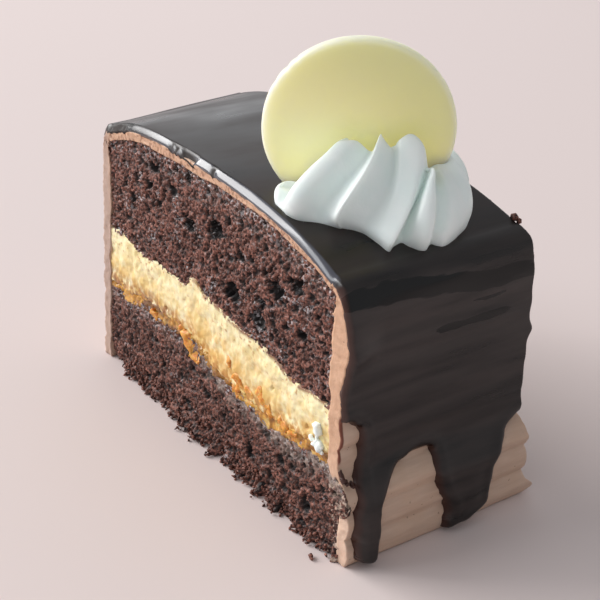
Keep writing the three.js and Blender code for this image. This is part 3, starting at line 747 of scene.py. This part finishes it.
# Chocolate glaze: poured warm over the chilled bar, so it levelled the comb ridges, ran down the ends in fat
# drips and set to a satin skin. The knife left a rounded lip along both cuts.
GLAZE = 1.3
GLAZE_LEVELLING = 0.15
EDGE_START = 0.3
BEAD = 0.28
TOP_LIP = 0.9
END_LIP = 0.7
LIP_RISE = 0.15
DRIP_ROUND = 1.7
RIGHT_DRIPS = [(0.95, -16.3, 2.4, 6, 9), (0.8, 6.2, 4.2, 5, 8)]
LEFT_SWELL = 0.7
BARE_LIMIT = 0.9
BARE_SINKING = 4.0
UNDER_GROOVE = 0.5
LEAST_GLAZE = 0.4
WIDTH = 40
RIGHT_EDGE = [(-30, 29.2), (-20.1, 28.9), (-18.3, 28), (-17, 26.5), (-16.4, 22.5), (-17.5, 18), (-18.6, 14.5),
              (-19.3, 9), (-19.2, 3), (-17.4, 0.7), (-15, 1.4), (-14.1, 6), (-13.9, 10.5), (-12.7, 14.2),
              (-8.6, 17.2), (-4, 18.3), (-0.9, 17.6), (-1.6, 14), (0, 9), (1.5, 5), (0.9, 2.4), (1.4, 0.7),
              (4.2, 1), (7.7, 2), (11.3, 3.6), (11.8, 8.6), (12.8, 12), (15.4, 15.4), (19, 17.6), (30, 21)]
LEFT_EDGE = [(-30, 54.2), (-17, 53.6), (-13.4, 48), (-12.4, 37), (-10.4, 34.6), (-8.5, 37.4), (-7.2, 46),
             (-3.6, 49.4), (-0.8, 46), (0.4, 30), (2.6, 26.6), (4.9, 29.6), (6, 43), (9.4, 47.6), (13, 45),
             (30, 44)]
# Smooth bands on the right end, made less rough and darkened in colour as a painted dark reflection.
GLOSSY_BANDS = [(50.9, 48.1, 1.7, -30, 30), (43.4, 41.2, 0.85, -4, 17.5), (46.6, 45.4, 0.45, 4, 16)]
FALLEN_BITS = [(44.2, -20.8, 19.1), (45.0, -20.8, 18.3), (45.5, -20.3, 17.7), (45.8, -19.4, 17.2)]


def eased(before, start, end, after, part):
    """A smooth way from start to end that keeps to the direction of their neighbours."""
    bend = 2 * before - 5 * start + 4 * end - after
    lift = 3 * start - before - 3 * end + after
    return 0.5 * (2 * start + (end - before) * part + bend * part**2 + lift * part**3)


def through(points, stops):
    """A smooth curve through the points, at stops from 0 to 1."""
    points = np.asarray(points, float)
    first = 2 * points[:1] - points[1:2]
    final = 2 * points[-1:] - points[-2:-1]
    padded = np.concatenate([first, points, final])
    place = np.clip(np.asarray(stops, float), 0, 1) * (len(points) - 1)
    step = np.minimum(place.astype(int), len(points) - 2)
    return eased(*(padded[step + k] for k in range(4)), (place - step)[..., None])


def inside_edge(y, height, edge):
    """Distance in from the glaze's lower edge, in millimetres; below zero where the cream is bare."""
    line = through(edge, np.linspace(0, 1, 8 * len(edge)))
    ring = np.concatenate([line, [(line[-1, 0], -40), (line[0, 0], -40)]])
    points = np.column_stack([y, height])
    nearest = np.full(len(points), 1e9)
    bare = np.zeros(len(points), bool)
    for start, end in zip(ring, np.roll(ring, -1, axis=0)):
        span = end - start
        away = points - start
        along = np.clip(away @ span / max(span @ span, 1e-9), 0, 1)
        nearest = np.minimum(nearest, np.hypot(*(away - along[:, None] * span).T))
        crosses = (start[1] > points[:, 1]) != (end[1] > points[:, 1])
        slope = span[0] / (span[1] if abs(span[1]) > 1e-9 else 1e-9)
        bare ^= crosses & (points[:, 0] < start[0] + slope * (points[:, 1] - start[1]))
    return np.where(bare, -nearest, nearest)


def glossy_painted_dark_share(y, height):
    """1 in the smooth bands that the spatula left in the glaze on the right end, 0 between them; the bands
    are made less rough and darkened as a painted dark reflection.
    """
    share = np.zeros_like(y)
    wandering = height + 0.8 * clouds(y / 9, height / 6, 108) + 0.3 * clouds(y / 2.5, height / 0.9, 109)
    for at_front, at_back, half_width, start, stop in GLOSSY_BANDS:
        middle = at_front + (at_back - at_front) * (y - FRONT_Y) / (BACK_Y - FRONT_Y)
        in_band = 1 - smoothstep(0.3, 1.2, np.abs(wandering - middle) / half_width)
        in_reach = smoothstep(start, start + 5, y) * (1 - smoothstep(stop - 5, stop, y))
        share = np.maximum(share, in_band * in_reach)
    return share


def make_glaze():
    """Near-black streaks drawn along the bar, more matte on the right end between its smooth bands, which are
    darkened as a painted dark reflection, brown where the glaze runs thinly, coated and moist along the lip
    with a painted bluish-grey highlight, and dull where the lip is torn."""
    chocolate = Finish("dark_chocolate_glaze")
    drawn = chocolate.drawn_out(0.3, 0.1, 1.0)
    spot = chocolate.parts(chocolate.place)
    streak = chocolate.patches(2.6, 0.34, 0.66, 3.0, drawn)
    chocolate.colour = chocolate.mixed(streak, (0.0050, 0.0034, 0.0033), (0.027, 0.0185, 0.0168))
    matte = chocolate.mixed(streak, (0.0150, 0.0116, 0.0111), (0.0450, 0.0352, 0.0330))
    at_end = chocolate.ranged(spot[0], 38.0, 43.0)
    below_top = chocolate.ranged(spot[2], 54.0, 51.5)
    above_drips = chocolate.ranged(spot[2], 12.0, 44.0, 0.25, 1.0)
    chocolate.lay(matte, at_end, below_top, above_drips)
    ragged = chocolate.patches(1.5, 0.28, 0.72, 4.0, drawn)
    glossy_and_painted_dark = chocolate.ranged(chocolate.math("ADD", ragged, chocolate.kept("glossy_and_painted_dark", 0.0, 0.6)), 1.02, 1.3)
    # Painted dark reflection: the smooth bands get a near-black colour as well as low roughness.
    chocolate.lay((0.0012, 0.0010, 0.0011), glossy_and_painted_dark)
    chocolate.lay((0.05, 0.014, 0.008), chocolate.kept("within", 0.9, 0.0), 0.8)
    # Painted highlight: the wet lip is painted bluish grey, besides its clear coat and low roughness.
    wet_with_painted_sheen = chocolate.kept("wet_lip_with_painted_sheen", 0.2, 0.8)
    chocolate.lay((0.086, 0.090, 0.112), wet_with_painted_sheen, 0.7)
    torn = chocolate.kept("torn_lip", 0.3, 0.8)
    chocolate.lay((0.016, 0.009, 0.007), torn, 0.8)
    roughness = chocolate.ranged(streak, 0, 1, 0.26, 0.48)
    for share, value in ((glossy_and_painted_dark, 0.15), (wet_with_painted_sheen, 0.16), (torn, 0.75)):
        roughness = chocolate.add("ShaderNodeMix", {0: share, 2: roughness, 3: value}).outputs[0]
    chocolate.give(Roughness=roughness, Specular_IOR_Level=0.38, Coat_Weight=chocolate.times(wet_with_painted_sheen, 0.3),
                   Coat_Roughness=0.18)
    return chocolate.done(2.5, 0.03, drawn)


glaze_runs = run_stops(end_step=0.4, top_step=0.8)
near_cut = np.array([0, 0.12, 0.26, 0.42, 0.6, 0.8, 1.02, 1.27, 1.56, 1.9]) / WIDTH
glaze_across = np.concatenate([near_cut, np.linspace(0.06, 0.94, 66), 1 - near_cut[::-1]])
grid_run, grid_v = np.meshgrid(glaze_runs, glaze_across, indexing="ij")
run, v = grid_run.ravel(), grid_v.ravel()
skin_x, skin_z = coat_section(run, 0.0)
skin_y = plan(skin_x, v)[1]
arc = np.concatenate([[0], np.cumsum(np.hypot(*np.diff(coat_section(glaze_runs, 0.0), axis=1)))])
arc = np.repeat(arc, len(glaze_across))
from_right = SHOULDER_Z + arc - arc[run <= 1].max()
from_left = SHOULDER_Z + arc[run <= 4].max() - arc
height = np.select([run < 1, run < 2.5, run < 4], [skin_z, from_right, from_left], skin_z)
within = np.where(run < 2.5, inside_edge(skin_y, height, RIGHT_EDGE), inside_edge(skin_y, height, LEFT_EDGE))
within = within + 0.22 * clouds(skin_y / 1.8, height / 1.8, 101)
groove = comb_groove(run, v, skin_z)
on_top = smoothstep(1.6, 2.1, run) * (1 - smoothstep(2.9, 3.4, run))
drawn_bands = np.sin(2 * math.pi * (height + 0.9 * clouds(skin_y / 14, height / 9, 105)) / COMB_PITCH)
band_depth = (0.12 + 0.14 * smoothstep(34, 44, height)) * (0.6 + 0.6 * clouds(skin_y / 12, height / 5, 102))
full = GLAZE - GLAZE_LEVELLING * groove + (1 - on_top) * band_depth * drawn_bands
drip = sum(swell * hump(skin_y, drip_y, wide) * hump(np.maximum(skin_z, low), low, tall)
           for swell, drip_y, wide, low, tall in RIGHT_DRIPS)
drip = np.where(run < 2, drip, 0) + np.where(run > 3, LEFT_SWELL * hump(skin_z, 31, 9), 0)
rounding = np.clip(within / DRIP_ROUND, 0, 1)
fullness = np.sqrt(1 - (1 - rounding) ** 2)
bead = BEAD * hump(within, 1.5, 1.0)
out = -groove + EDGE_START + (full + drip + bead + groove - EDGE_START) * fullness
out -= np.clip(-within, 0, 1.0) * BARE_SINKING
from_cut = np.minimum(v, 1 - v) * WIDTH
lip_width = (END_LIP + (TOP_LIP - END_LIP) * on_top) * (1 + 0.2 * clouds(run * 9, v * 3, 103))
facet = np.clip(from_cut / lip_width, 0, 1)
lip = 1 - (1 - facet) ** (2.2 - on_top)
out = np.where(within > 0, LIP_RISE + (out - LIP_RISE) * lip, out)
on_lip = on_top * (1 - smoothstep(0.9, 1.15, from_cut / lip_width))
torn = smoothstep(-15, -13, skin_x) * (1 - smoothstep(-5.5, -3.5, skin_x)) + hump(skin_x, 2, 0.8)
torn += 1 - smoothstep(-35, -29, skin_x)
torn = np.clip(torn * (0.9 + 0.9 * clouds(skin_x / 0.9, from_cut / 0.45, 106)), 0, 1)
out -= on_lip * torn * (0.7 + 0.6 * clouds(skin_x / 0.8, from_cut / 0.5, 107))
# The wet lip: less rough and coated in the finish, with a painted bluish-grey highlight in its colour.
wet_lip_with_painted_sheen = on_lip * (1 - torn) * (0.3 + 0.7 * smoothstep(-32, -4, skin_x))
torn_lip = on_lip * torn
from_edge = np.minimum(within, from_cut * 1.3 + 3 * on_top)
# Smooth bands on the right end: less rough, and darkened in colour as a painted dark reflection.
glossy_and_painted_dark = np.where(run < 2, glossy_painted_dark_share(skin_y, height), 0)
bulge = edge_bulge(run, v, skin_z)
outer_x, outer_z = coat_section(run, out + bulge)
inner_x, inner_z = coat_section(run, np.minimum(-groove - UNDER_GROOVE, out - LEAST_GLAZE) + bulge)
forward = (1 - smoothstep(0, 1.2, from_cut)) * (0.12 + 0.13 * on_top + 0.10 * clouds(run * 14, v * 3, 104))
forward += np.where((run < 1) & (v > 0.5), hump(skin_z, 35.5, 1.5) * hump(from_cut, 0, 2.0), 0)
forward *= smoothstep(-0.2, 0.4, within)
outer_plan = plan(outer_x, v)
outward = np.where(v < 0.5, -1, 1)
outer_points = np.column_stack([outer_plan[0], outer_plan[1] + outward * forward, outer_z])
inner_points = np.column_stack([*plan(inner_x, v), inner_z])
ids = np.arange(run.size).reshape(grid_run.shape)
cells = np.stack([ids[:-1, :-1], ids[:-1, 1:], ids[1:, 1:], ids[1:, :-1]], axis=-1).reshape(-1, 4)
cells = cells[(within[cells] > -BARE_LIMIT).any(axis=1)]
edges = np.concatenate([cells[:, [k, (k + 1) % 4]] for k in range(4)])
twins = set(map(tuple, edges[:, ::-1].tolist()))
rim = np.array([edge for edge in edges.tolist() if tuple(edge) not in twins])
walls = np.column_stack([rim[:, 1], rim[:, 0], rim[:, 0] + run.size, rim[:, 1] + run.size])
used, glaze_faces = np.unique(np.concatenate([cells, cells[:, ::-1] + run.size, walls]), return_inverse=True)
glaze_values = {"within": from_edge, "wet_lip_with_painted_sheen": wet_lip_with_painted_sheen, "torn_lip": torn_lip, "glossy_and_painted_dark": glossy_and_painted_dark}
glaze = make_piece("dark_chocolate_glaze", np.concatenate([outer_points, inner_points])[used],
                   glaze_faces.reshape(-1, 4),
                   **{label: np.tile(numbers, 2)[used] for label, numbers in glaze_values.items()})
glaze.data.materials.append(make_glaze())
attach(glaze, "root")
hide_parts("glaze_dark_chocolate")
glaze_bits = make_piece("fallen_glaze_bits", np.array(FALLEN_BITS), size=[0.5, 0.6, 0.65, 0.6],
                        turn=[0.9, 0.6, 0.5, 0.3], tip=[0.0, 0.2, 0.5, 0.8])
shape_by(glaze_bits, peel_tree, glaze.data.materials[0], Length=2.0, Width=1.2, Thickness=1.1, Unevenness=0.5)
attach(glaze_bits, "root")


# Whipped cream: one swirl piped from a star nozzle onto the set glaze, so its ribs lean round as they rise.
# The disc pushed into it left the rib tops standing like a crown.
SWIRL_PLACE = np.array([23.7, -0.2, 58.0])
FOLD_STOPS = np.linspace(0, 1, 7)
SWELL_PEAK = 0.169
SHOWN_FOLDS = [(-104, -7, 18.7, 0.3, 16.3, 3.8, -1.3), (-98, -2, 18.7, 0.4, 10.1, 4.2, -0.3),
               (-93, -4, 18.6, 0.7, 6.1, 12, 0.2), (-89.5, 1, 18.6, 1.9, 8.7, 12.8, -0.06),
               (-83, 11, 17.9, 1.8, 6.8, 13.1, 0), (-74, 25, 15.3, -0.4, 5.1, 11.1, -0.1),
               (-62, 28, 14.1, 3.4, 5.9, 14.3, 0.1), (-59, 32, 13.6, 2.0, 5.3, 13.6, 0.1),
               (-46, 40, 13.0, 1.2, 5.3, 11.4, 0.4), (-34, 35, 14.9, 1.9, 6.3, 13.1, 0.4),
               (-28, 43, 16.4, 2.1, 7.6, 14.1, 0.4), (-24, 44, 15.1, 1.2, 9.6, 12.4, 0.3),
               (-17, 38, 14.0, -0.2, 10.5, 8.8, 0.1), (-13, 28, 15.0, 1.5, 11.8, 9.2, -0.2),
               (-5, 21, 16.4, 1.8, 12.4, 9.2, -0.1)]
RIGHT_FOLDS = [(3, 26, 15.3, 0.9, 10.8, 6.0, -0.4), (9, 33, 16.7, 1.3, 11.3, 7.2, -0.4),
               (24, 33, 16.7, 1.3, 11.3, 7.4, -0.4)]
LEFT_FOLDS = [(231, 7, 14.6, 0.9, 10.1, 3.4, -0.4), (244, 0, 17.2, 0.6, 15.0, 4.4, -0.8)]
HIDDEN_CRESTS = 7
HIDDEN_START = 40
HIDDEN_PITCH = 27
INWARD = [(0.90, -0.3), (0.72, -1.9), (0.40, -3.4)]
WELL_Z = 6.0
WELL_FLOOR = 3.4
SUNK_FOOT = 0.6
FOLD_ROWS = 84
FOLD_COLUMNS = 8


def glaze_top(x):
    return coat_top(x) + GLAZE


def fold(foot, turn, reach, belly, tip_reach, tip, flick):
    """One crest or hollow: its foot in degrees round the swirl and its turn as it rises, its reach at the
    foot, the swell of its belly, its reach and height at the tip, and how much of its rise comes late."""
    part = FOLD_STOPS
    angle = np.radians(foot + turn * part**2)
    swell = part * (1 - part) ** 1.7 / SWELL_PEAK
    out = reach + (tip_reach - reach) * part**1.5 + belly * swell
    ground = glaze_top(SWIRL_PLACE[0] + out[0] * np.cos(angle[0])) - SWIRL_PLACE[2]
    rise = part + flick * (part**3 - part)
    return np.column_stack([out * np.cos(angle), out * np.sin(angle), ground + (tip - ground) * rise])


def hidden_folds():
    """Crests round the back of the swirl, each with the hollow after it."""
    sizes = []
    for crest in range(HIDDEN_CRESTS):
        foot = HIDDEN_START + HIDDEN_PITCH * crest
        turn = 33 - 2.7 * crest
        tip = 9.2 + 2.2 * math.sin(math.pi * crest / (HIDDEN_CRESTS - 1))
        sizes.append((foot, turn, 17.0, 1.3, 11.5, tip, -0.4))
        sizes.append((foot + HIDDEN_PITCH / 2, turn, 15.1, 0.9, 10.5, tip - 1.3 - 0.45 * crest, -0.4))
    return sizes


def whole_fold(sizes):
    """A fold carried on under the cream at its foot and over its tip into the well round the disc."""
    shown = fold(*sizes)
    tip = shown[-1]
    inner = [(tip[0] * part, tip[1] * part, max(tip[2] + drop, WELL_FLOOR)) for part, drop in INWARD]
    under_foot = shown[0] * (0.97, 0.97, 1) - (0, 0, SUNK_FOOT)
    return np.concatenate([[under_foot], shown, inner, [(0, 0, WELL_Z)]])


def ring_quads(ids):
    """Quads of a grid of points that closes on itself along its first axis."""
    after = np.roll(ids, -1, axis=0)
    quads = np.stack([ids[:, :-1], after[:, :-1], after[:, 1:], ids[:, 1:]], axis=-1)
    return quads.reshape(-1, 4).tolist()


def fan(ring, hub):
    """Triangles from a closed ring of points to its hub."""
    return [(after, before, hub) for before, after in zip(ring, np.roll(ring, -1))]


def make_skin_tree():
    """Slight unevenness of a soft, piped surface."""
    skin = ShapeTree("cream skin", {"Pitch": 3.0, "Depth": 0.12})
    pitch = skin.math("DIVIDE", 1.0 / MM, skin.inlets["Pitch"])
    centred = skin.math("SUBTRACT", skin.noise(skin.place, pitch, 2.0)[0], 0.5)
    reach = skin.times(centred, skin.times(skin.inlets["Depth"], 2 * MM))
    normal = skin.add("GeometryNodeInputNormal").outputs[0]
    return skin.end_with(skin.moved(skin.inlets["Geometry"], skin.scaled(normal, reach)))


def make_whipped_cream():
    cream = Finish("whipped_cream")
    cream.colour = cream.mixed(cream.patches(3.5, 0.35, 0.65), (0.85, 0.985, 0.935), (0.885, 1.0, 0.955))
    cream.give(Roughness=0.42)
    cream.soften(0.6, 1.8, 1.0, 1.0, 0.95)
    return cream.done(0.5, 0.03)


folds = [whole_fold(sizes) for sizes in SHOWN_FOLDS + RIGHT_FOLDS + hidden_folds() + LEFT_FOLDS]
folds = np.array([through(points, np.linspace(0, 1, FOLD_ROWS)) for points in folds])
blend = np.linspace(0, 1, FOLD_COLUMNS, endpoint=False)[None, :, None, None]
swirl_grid = eased(*(np.roll(folds, shift, axis=0)[:, None] for shift in (1, 0, -1, -2)), blend)
swirl_points = swirl_grid.reshape(-1, 3) + SWIRL_PLACE
swirl_ids = np.arange(len(swirl_points)).reshape(-1, FOLD_ROWS)
under = (SWIRL_PLACE[0], SWIRL_PLACE[1], glaze_top(SWIRL_PLACE[0]) - SUNK_FOOT)
swirl_faces = ring_quads(swirl_ids) + fan(swirl_ids[:, 0], len(swirl_points))
swirl = make_piece("whipped_cream_swirl", np.concatenate([swirl_points, [under]]), swirl_faces)
whipped_cream = make_whipped_cream()
shape_by(swirl, make_skin_tree(), whipped_cream, Pitch=3.0, Depth=0.10)
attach(swirl, "root")
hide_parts("swirl_whipped_cream")


# Cream flecks: soft bits of whipped cream that the knife carried down onto the vanilla layer, near the right
# end of the front cut.
FLECK_PLACES = np.array([(37.0, 24.3), (37.4, 21.2), (35.4, 21.5), (38.2, 20.3), (36.6, 22.8)])
FLECK_PROUD = 0.1
fleck_x, fleck_y = plan(FLECK_PLACES[:, 0], 0.0)
flecks = make_piece("cream_flecks", np.column_stack([fleck_x, fleck_y - FLECK_PROUD, FLECK_PLACES[:, 1]]),
                    size=[1.35, 1.3, 0.7, 0.7, 0.6], turn=[1.3, 0.5, 0.9, 0.2, 1.1],
                    tip=[0.2, -0.3, 0.4, 0.1, -0.2])
shape_by(flecks, peel_tree, whipped_cream, Length=1.7, Width=1.0, Thickness=1.3, Unevenness=0.6)
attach(flecks, "root")


# White chocolate disc: cast thin and plain, with a soft rounded rim that broke a little in the mould. It
# stands upright, leaning slightly back, with its lower edge pushed down into the cream.
DISC_RADIUS = 16.95
HALF_THICKNESS = 1.2
DISC_EDGE = 0.65
DISC_CUT_Z = 60.85
DISC_STOPS = 240
DISC_SWAY = 0.06
DISC_TURN = math.radians(55)
DISC_LEAN = math.radians(8)
RIM_NICKS = [(2.42, 0.035, 0.22), (2.28, 0.02, 0.15), (2.62, 0.03, 0.14), (0.62, 0.02, 0.1)]


def make_white_chocolate():
    """Pale yellow, with painted light: brighter and warmer towards the lower left, where light comes through
    the plate, and low down near the cream, and darker towards the top as painted shade; paler round the rim.
    """
    plate = Finish("white_chocolate")
    # Painted glow and shade: bright and warm towards the lower left, darker towards the top; then a painted
    # warm glow low down near the cream.
    plate.colour = plate.mixed(plate.kept("thin"), (0.655, 0.65, 0.43), (1.0, 0.885, 0.58))
    plate.lay((1.0, 0.755, 0.46), plate.kept("low"))
    plate.lay((0.82, 0.85, 0.70), plate.kept("rim", 0.94, 1.0), 0.5)
    plate.give(Roughness=0.38)
    plate.soften(0.9, 7.0, 1.0, 0.97, 0.62)
    return plate.done(1.5, 0.015)


disc_angles = np.linspace(0, 2 * math.pi, DISC_STOPS, endpoint=False)
disc_rings = [(DISC_RADIUS * part, -HALF_THICKNESS) for part in np.linspace(0, 0.93, 20)[1:]]
for bend in np.linspace(0, math.pi / 2, 7):
    edge_radius = DISC_RADIUS - DISC_EDGE * (1 - np.sin(bend))
    disc_rings.append((edge_radius, -HALF_THICKNESS + DISC_EDGE * (1 - np.cos(bend))))
disc_rings += [(radius, -level) for radius, level in reversed(disc_rings)]
rim_loss = sum(depth * hump(disc_angles, angle, width) for angle, width, depth in RIM_NICKS)
disc_rows = []
to_side = np.cos(disc_angles)
to_top = np.sin(disc_angles)
for ring_radius, level in disc_rings:
    near_rim = smoothstep(0.9, 1.0, ring_radius / DISC_RADIUS)
    radius = ring_radius - near_rim * rim_loss
    sway = DISC_SWAY * clouds(3 * to_side * ring_radius / DISC_RADIUS, 3 * to_top, 121)
    disc_rows.append(np.column_stack([radius * to_side, level + sway, radius * to_top]))
disc_shape = np.concatenate(disc_rows + [np.array([[0, -HALF_THICKNESS, 0], [0, HALF_THICKNESS, 0]])])
lowest = (DISC_CUT_Z - DISC_PLACE[2]) / math.cos(DISC_LEAN)
over = np.where(disc_shape[:, 2] < lowest, lowest / np.minimum(disc_shape[:, 2], lowest), 1.0)
disc_shape = disc_shape * np.column_stack([over, np.ones_like(over), over])
stood_up = Matrix.Rotation(DISC_TURN, 3, "Z") @ Matrix.Rotation(DISC_LEAN, 3, "X")
disc_ids = np.arange(len(disc_rings) * len(disc_angles)).reshape(len(disc_rings), -1)
disc_faces = ring_quads(disc_ids.T)
disc_faces += fan(disc_ids[0], disc_ids.size) + fan(disc_ids[-1][::-1], disc_ids.size + 1)
disc_u = disc_shape[:, 0] / DISC_RADIUS
disc_w = disc_shape[:, 2] / DISC_RADIUS
# A soft bright spot of painted glow just above the cream, and the shares of the painted glow and shade in the
# colour, by place on the plate.
disc_painted_glow = np.exp(-((disc_u + 0.1) ** 2 + (disc_w + 0.2) ** 2) / 0.2)
disc = make_piece("white_chocolate_disc", disc_shape @ np.array(stood_up).T + DISC_PLACE, disc_faces,
                  rim=np.hypot(disc_u, disc_w), low=0.75 * (1 - smoothstep(-0.65, 0.1, disc_w)),
                  thin=smoothstep(-0.5, 1.3, 0.5 - 0.5 * disc_u - 0.85 * disc_w + 0.4 * disc_painted_glow))
disc.data.materials.append(make_white_chocolate())
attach(disc, "root")
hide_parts("disc_white_chocolate")


# Loose crumbs: bits of chocolate sponge that the knife pulled off. They cling to the cut faces and lie along
# the base and on the edges of the glaze.
FOOT_CRUMBS = 420
EDGE_CRUMBS = 40
SINGLE_CRUMBS = [(38.2, 20.5, 55.6, 0.8), (39.2, 20.6, 55.1, 0.6), (38.7, 20.1, 55.7, 0.45),
                 (40.5, -23.9, 0.4, 0.5), (41.1, -24.3, 0.3, 0.35)]


def make_granule_tree():
    """A small rough lump on each point, as large as its point says."""
    granules = ShapeTree("granules", {"Roughness": 0.4})
    lump = granules.add("GeometryNodeMeshIcoSphere", {"Radius": MM, "Subdivisions": 1})
    turn = granules.add("FunctionNodeRandomValue", {"Max": (6.28, 6.28, 6.28), "Seed": 7},
                        data_type="FLOAT_VECTOR").outputs[0]
    return strewn(granules, lump, turn, 1.1 / MM, 0.0, granules.inlets["Roughness"])


crumb_chance = np.random.default_rng(131)
crumb_rows = []
for side, across in ((-1, 0.0), (1, 1.0)):
    x = crumb_chance.uniform(-42, 42, FOOT_CRUMBS)
    z = crumb_chance.uniform(0, 1, FOOT_CRUMBS) ** 2.2 * 5
    ground_x, ground_y = plan(x, across)
    proud = lower_foot(x, z, across) + crumb_chance.uniform(-0.3, 0.35, FOOT_CRUMBS)
    size = crumb_chance.uniform(0.15, 0.42, FOOT_CRUMBS)
    crumb_rows.append(np.column_stack([ground_x, ground_y + side * proud, z + 0.3, size]))
edge_x = crumb_chance.uniform(-6, 40, EDGE_CRUMBS)
edge_inset = crumb_chance.uniform(0, 0.6, EDGE_CRUMBS)
edge_plan = plan(edge_x, 1.0)
edge_size = crumb_chance.uniform(0.1, 0.24, EDGE_CRUMBS)
edge_z = glaze_top(edge_x) - 1.1 + edge_inset
crumb_rows.append(np.column_stack([edge_plan[0], edge_plan[1] - edge_inset, edge_z, edge_size]))
crumb_rows = np.concatenate(crumb_rows + [np.array(SINGLE_CRUMBS)])
crumbs = make_piece("chocolate_crumbs", crumb_rows[:, :3], size=crumb_rows[:, 3])
shape_by(crumbs, make_granule_tree(), lower_crumb)
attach(crumbs, "root")


# Stage: a plain pale floor, three soft lights of which the window at the left is by far the strongest, light
# all round that is weaker from above, and the camera at the height and turn from which the slice is seen.
FLOOR_REACH = 4.0
SKY_STRENGTH = 0.48
AZIMUTH = math.radians(55.341)
ELEVATION = math.radians(26.748)
ROLL = math.radians(1.119)
DISTANCE = 263.036
TARGET = Vector((0.0, 0.591, 27.97))


def soft_light(name, place, aim_z, width, depth, power, colour):
    lamp = bpy.data.lights.new(name, "AREA")
    lamp.shape = "RECTANGLE"
    lamp.size = width
    lamp.size_y = depth
    lamp.energy = power
    lamp.color = colour
    holder = bpy.data.objects.new(name, lamp)
    holder.location = place
    holder.rotation_euler = (Vector((0, 0, aim_z)) - Vector(place)).to_track_quat("-Z", "Y").to_euler()
    bpy.context.collection.objects.link(holder)


pale_floor = Finish("pale_floor")
pale_floor.give(Base_Color=(0.705, 0.607, 0.588, 1), Roughness=0.7)
floor_mesh = bpy.data.meshes.new("floor")
floor_corners = [(x * FLOOR_REACH, y * FLOOR_REACH, 0) for x, y in ((-1, -1), (1, -1), (1, 1), (-1, 1))]
floor_mesh.from_pydata(floor_corners, [], [(0, 1, 2, 3)])
floor_mesh.materials.append(pale_floor.material)
floor = bpy.data.objects.new("floor", floor_mesh)
bpy.context.collection.objects.link(floor)

soft_light("window_light", (-3.1, -1.75, 1.88), aim_z=0.03, width=2.8, depth=1.95, power=172.0,
           colour=(1.0, 0.985, 0.97))
soft_light("front_light", (-1.2, -2.15, 1.85), aim_z=0.04, width=1.3, depth=0.8, power=21.5,
           colour=(0.96, 0.98, 1.0))
soft_light("wall_light", (-2.1, 1.45, 0.55), aim_z=0.05, width=1.5, depth=0.7, power=4.2,
           colour=(0.97, 0.98, 1.0))

world = bpy.data.worlds.new("room")
world.use_nodes = True
room = NodeWork(world.node_tree)
climb = room.parts(room.add("ShaderNodeTexCoord").outputs["Normal"])[2]
sky_colour = room.mixed(room.ranged(climb, 0.1, 0.8), (0.96, 0.97, 1.0), (0.23, 0.235, 0.25))
sky = world.node_tree.nodes["Background"]
room.fill(sky.inputs["Color"], sky_colour)
room.fill(sky.inputs["Strength"], SKY_STRENGTH)
scene = bpy.context.scene
scene.world = world
scene.view_settings.view_transform = "Standard"

level_right = Vector((math.cos(AZIMUTH), math.sin(AZIMUTH), 0))
level_back = Vector((math.sin(AZIMUTH), -math.cos(AZIMUTH), 0))
backward = level_back * math.cos(ELEVATION) + Vector((0, 0, math.sin(ELEVATION)))
level_up = backward.cross(level_right)
camera_right = math.cos(ROLL) * level_right + math.sin(ROLL) * level_up
camera_up = -math.sin(ROLL) * level_right + math.cos(ROLL) * level_up
lens = bpy.data.cameras.new("camera")
lens.lens = 78
lens.sensor_width = 36
lens.clip_start = 0.01
camera = bpy.data.objects.new("camera", lens)
camera.matrix_world = Matrix((camera_right, camera_up, backward)).transposed().to_4x4()
camera.location = (TARGET + backward * DISTANCE + Vector(SHIFT)) * MM
bpy.context.collection.objects.link(camera)
scene.camera = camera
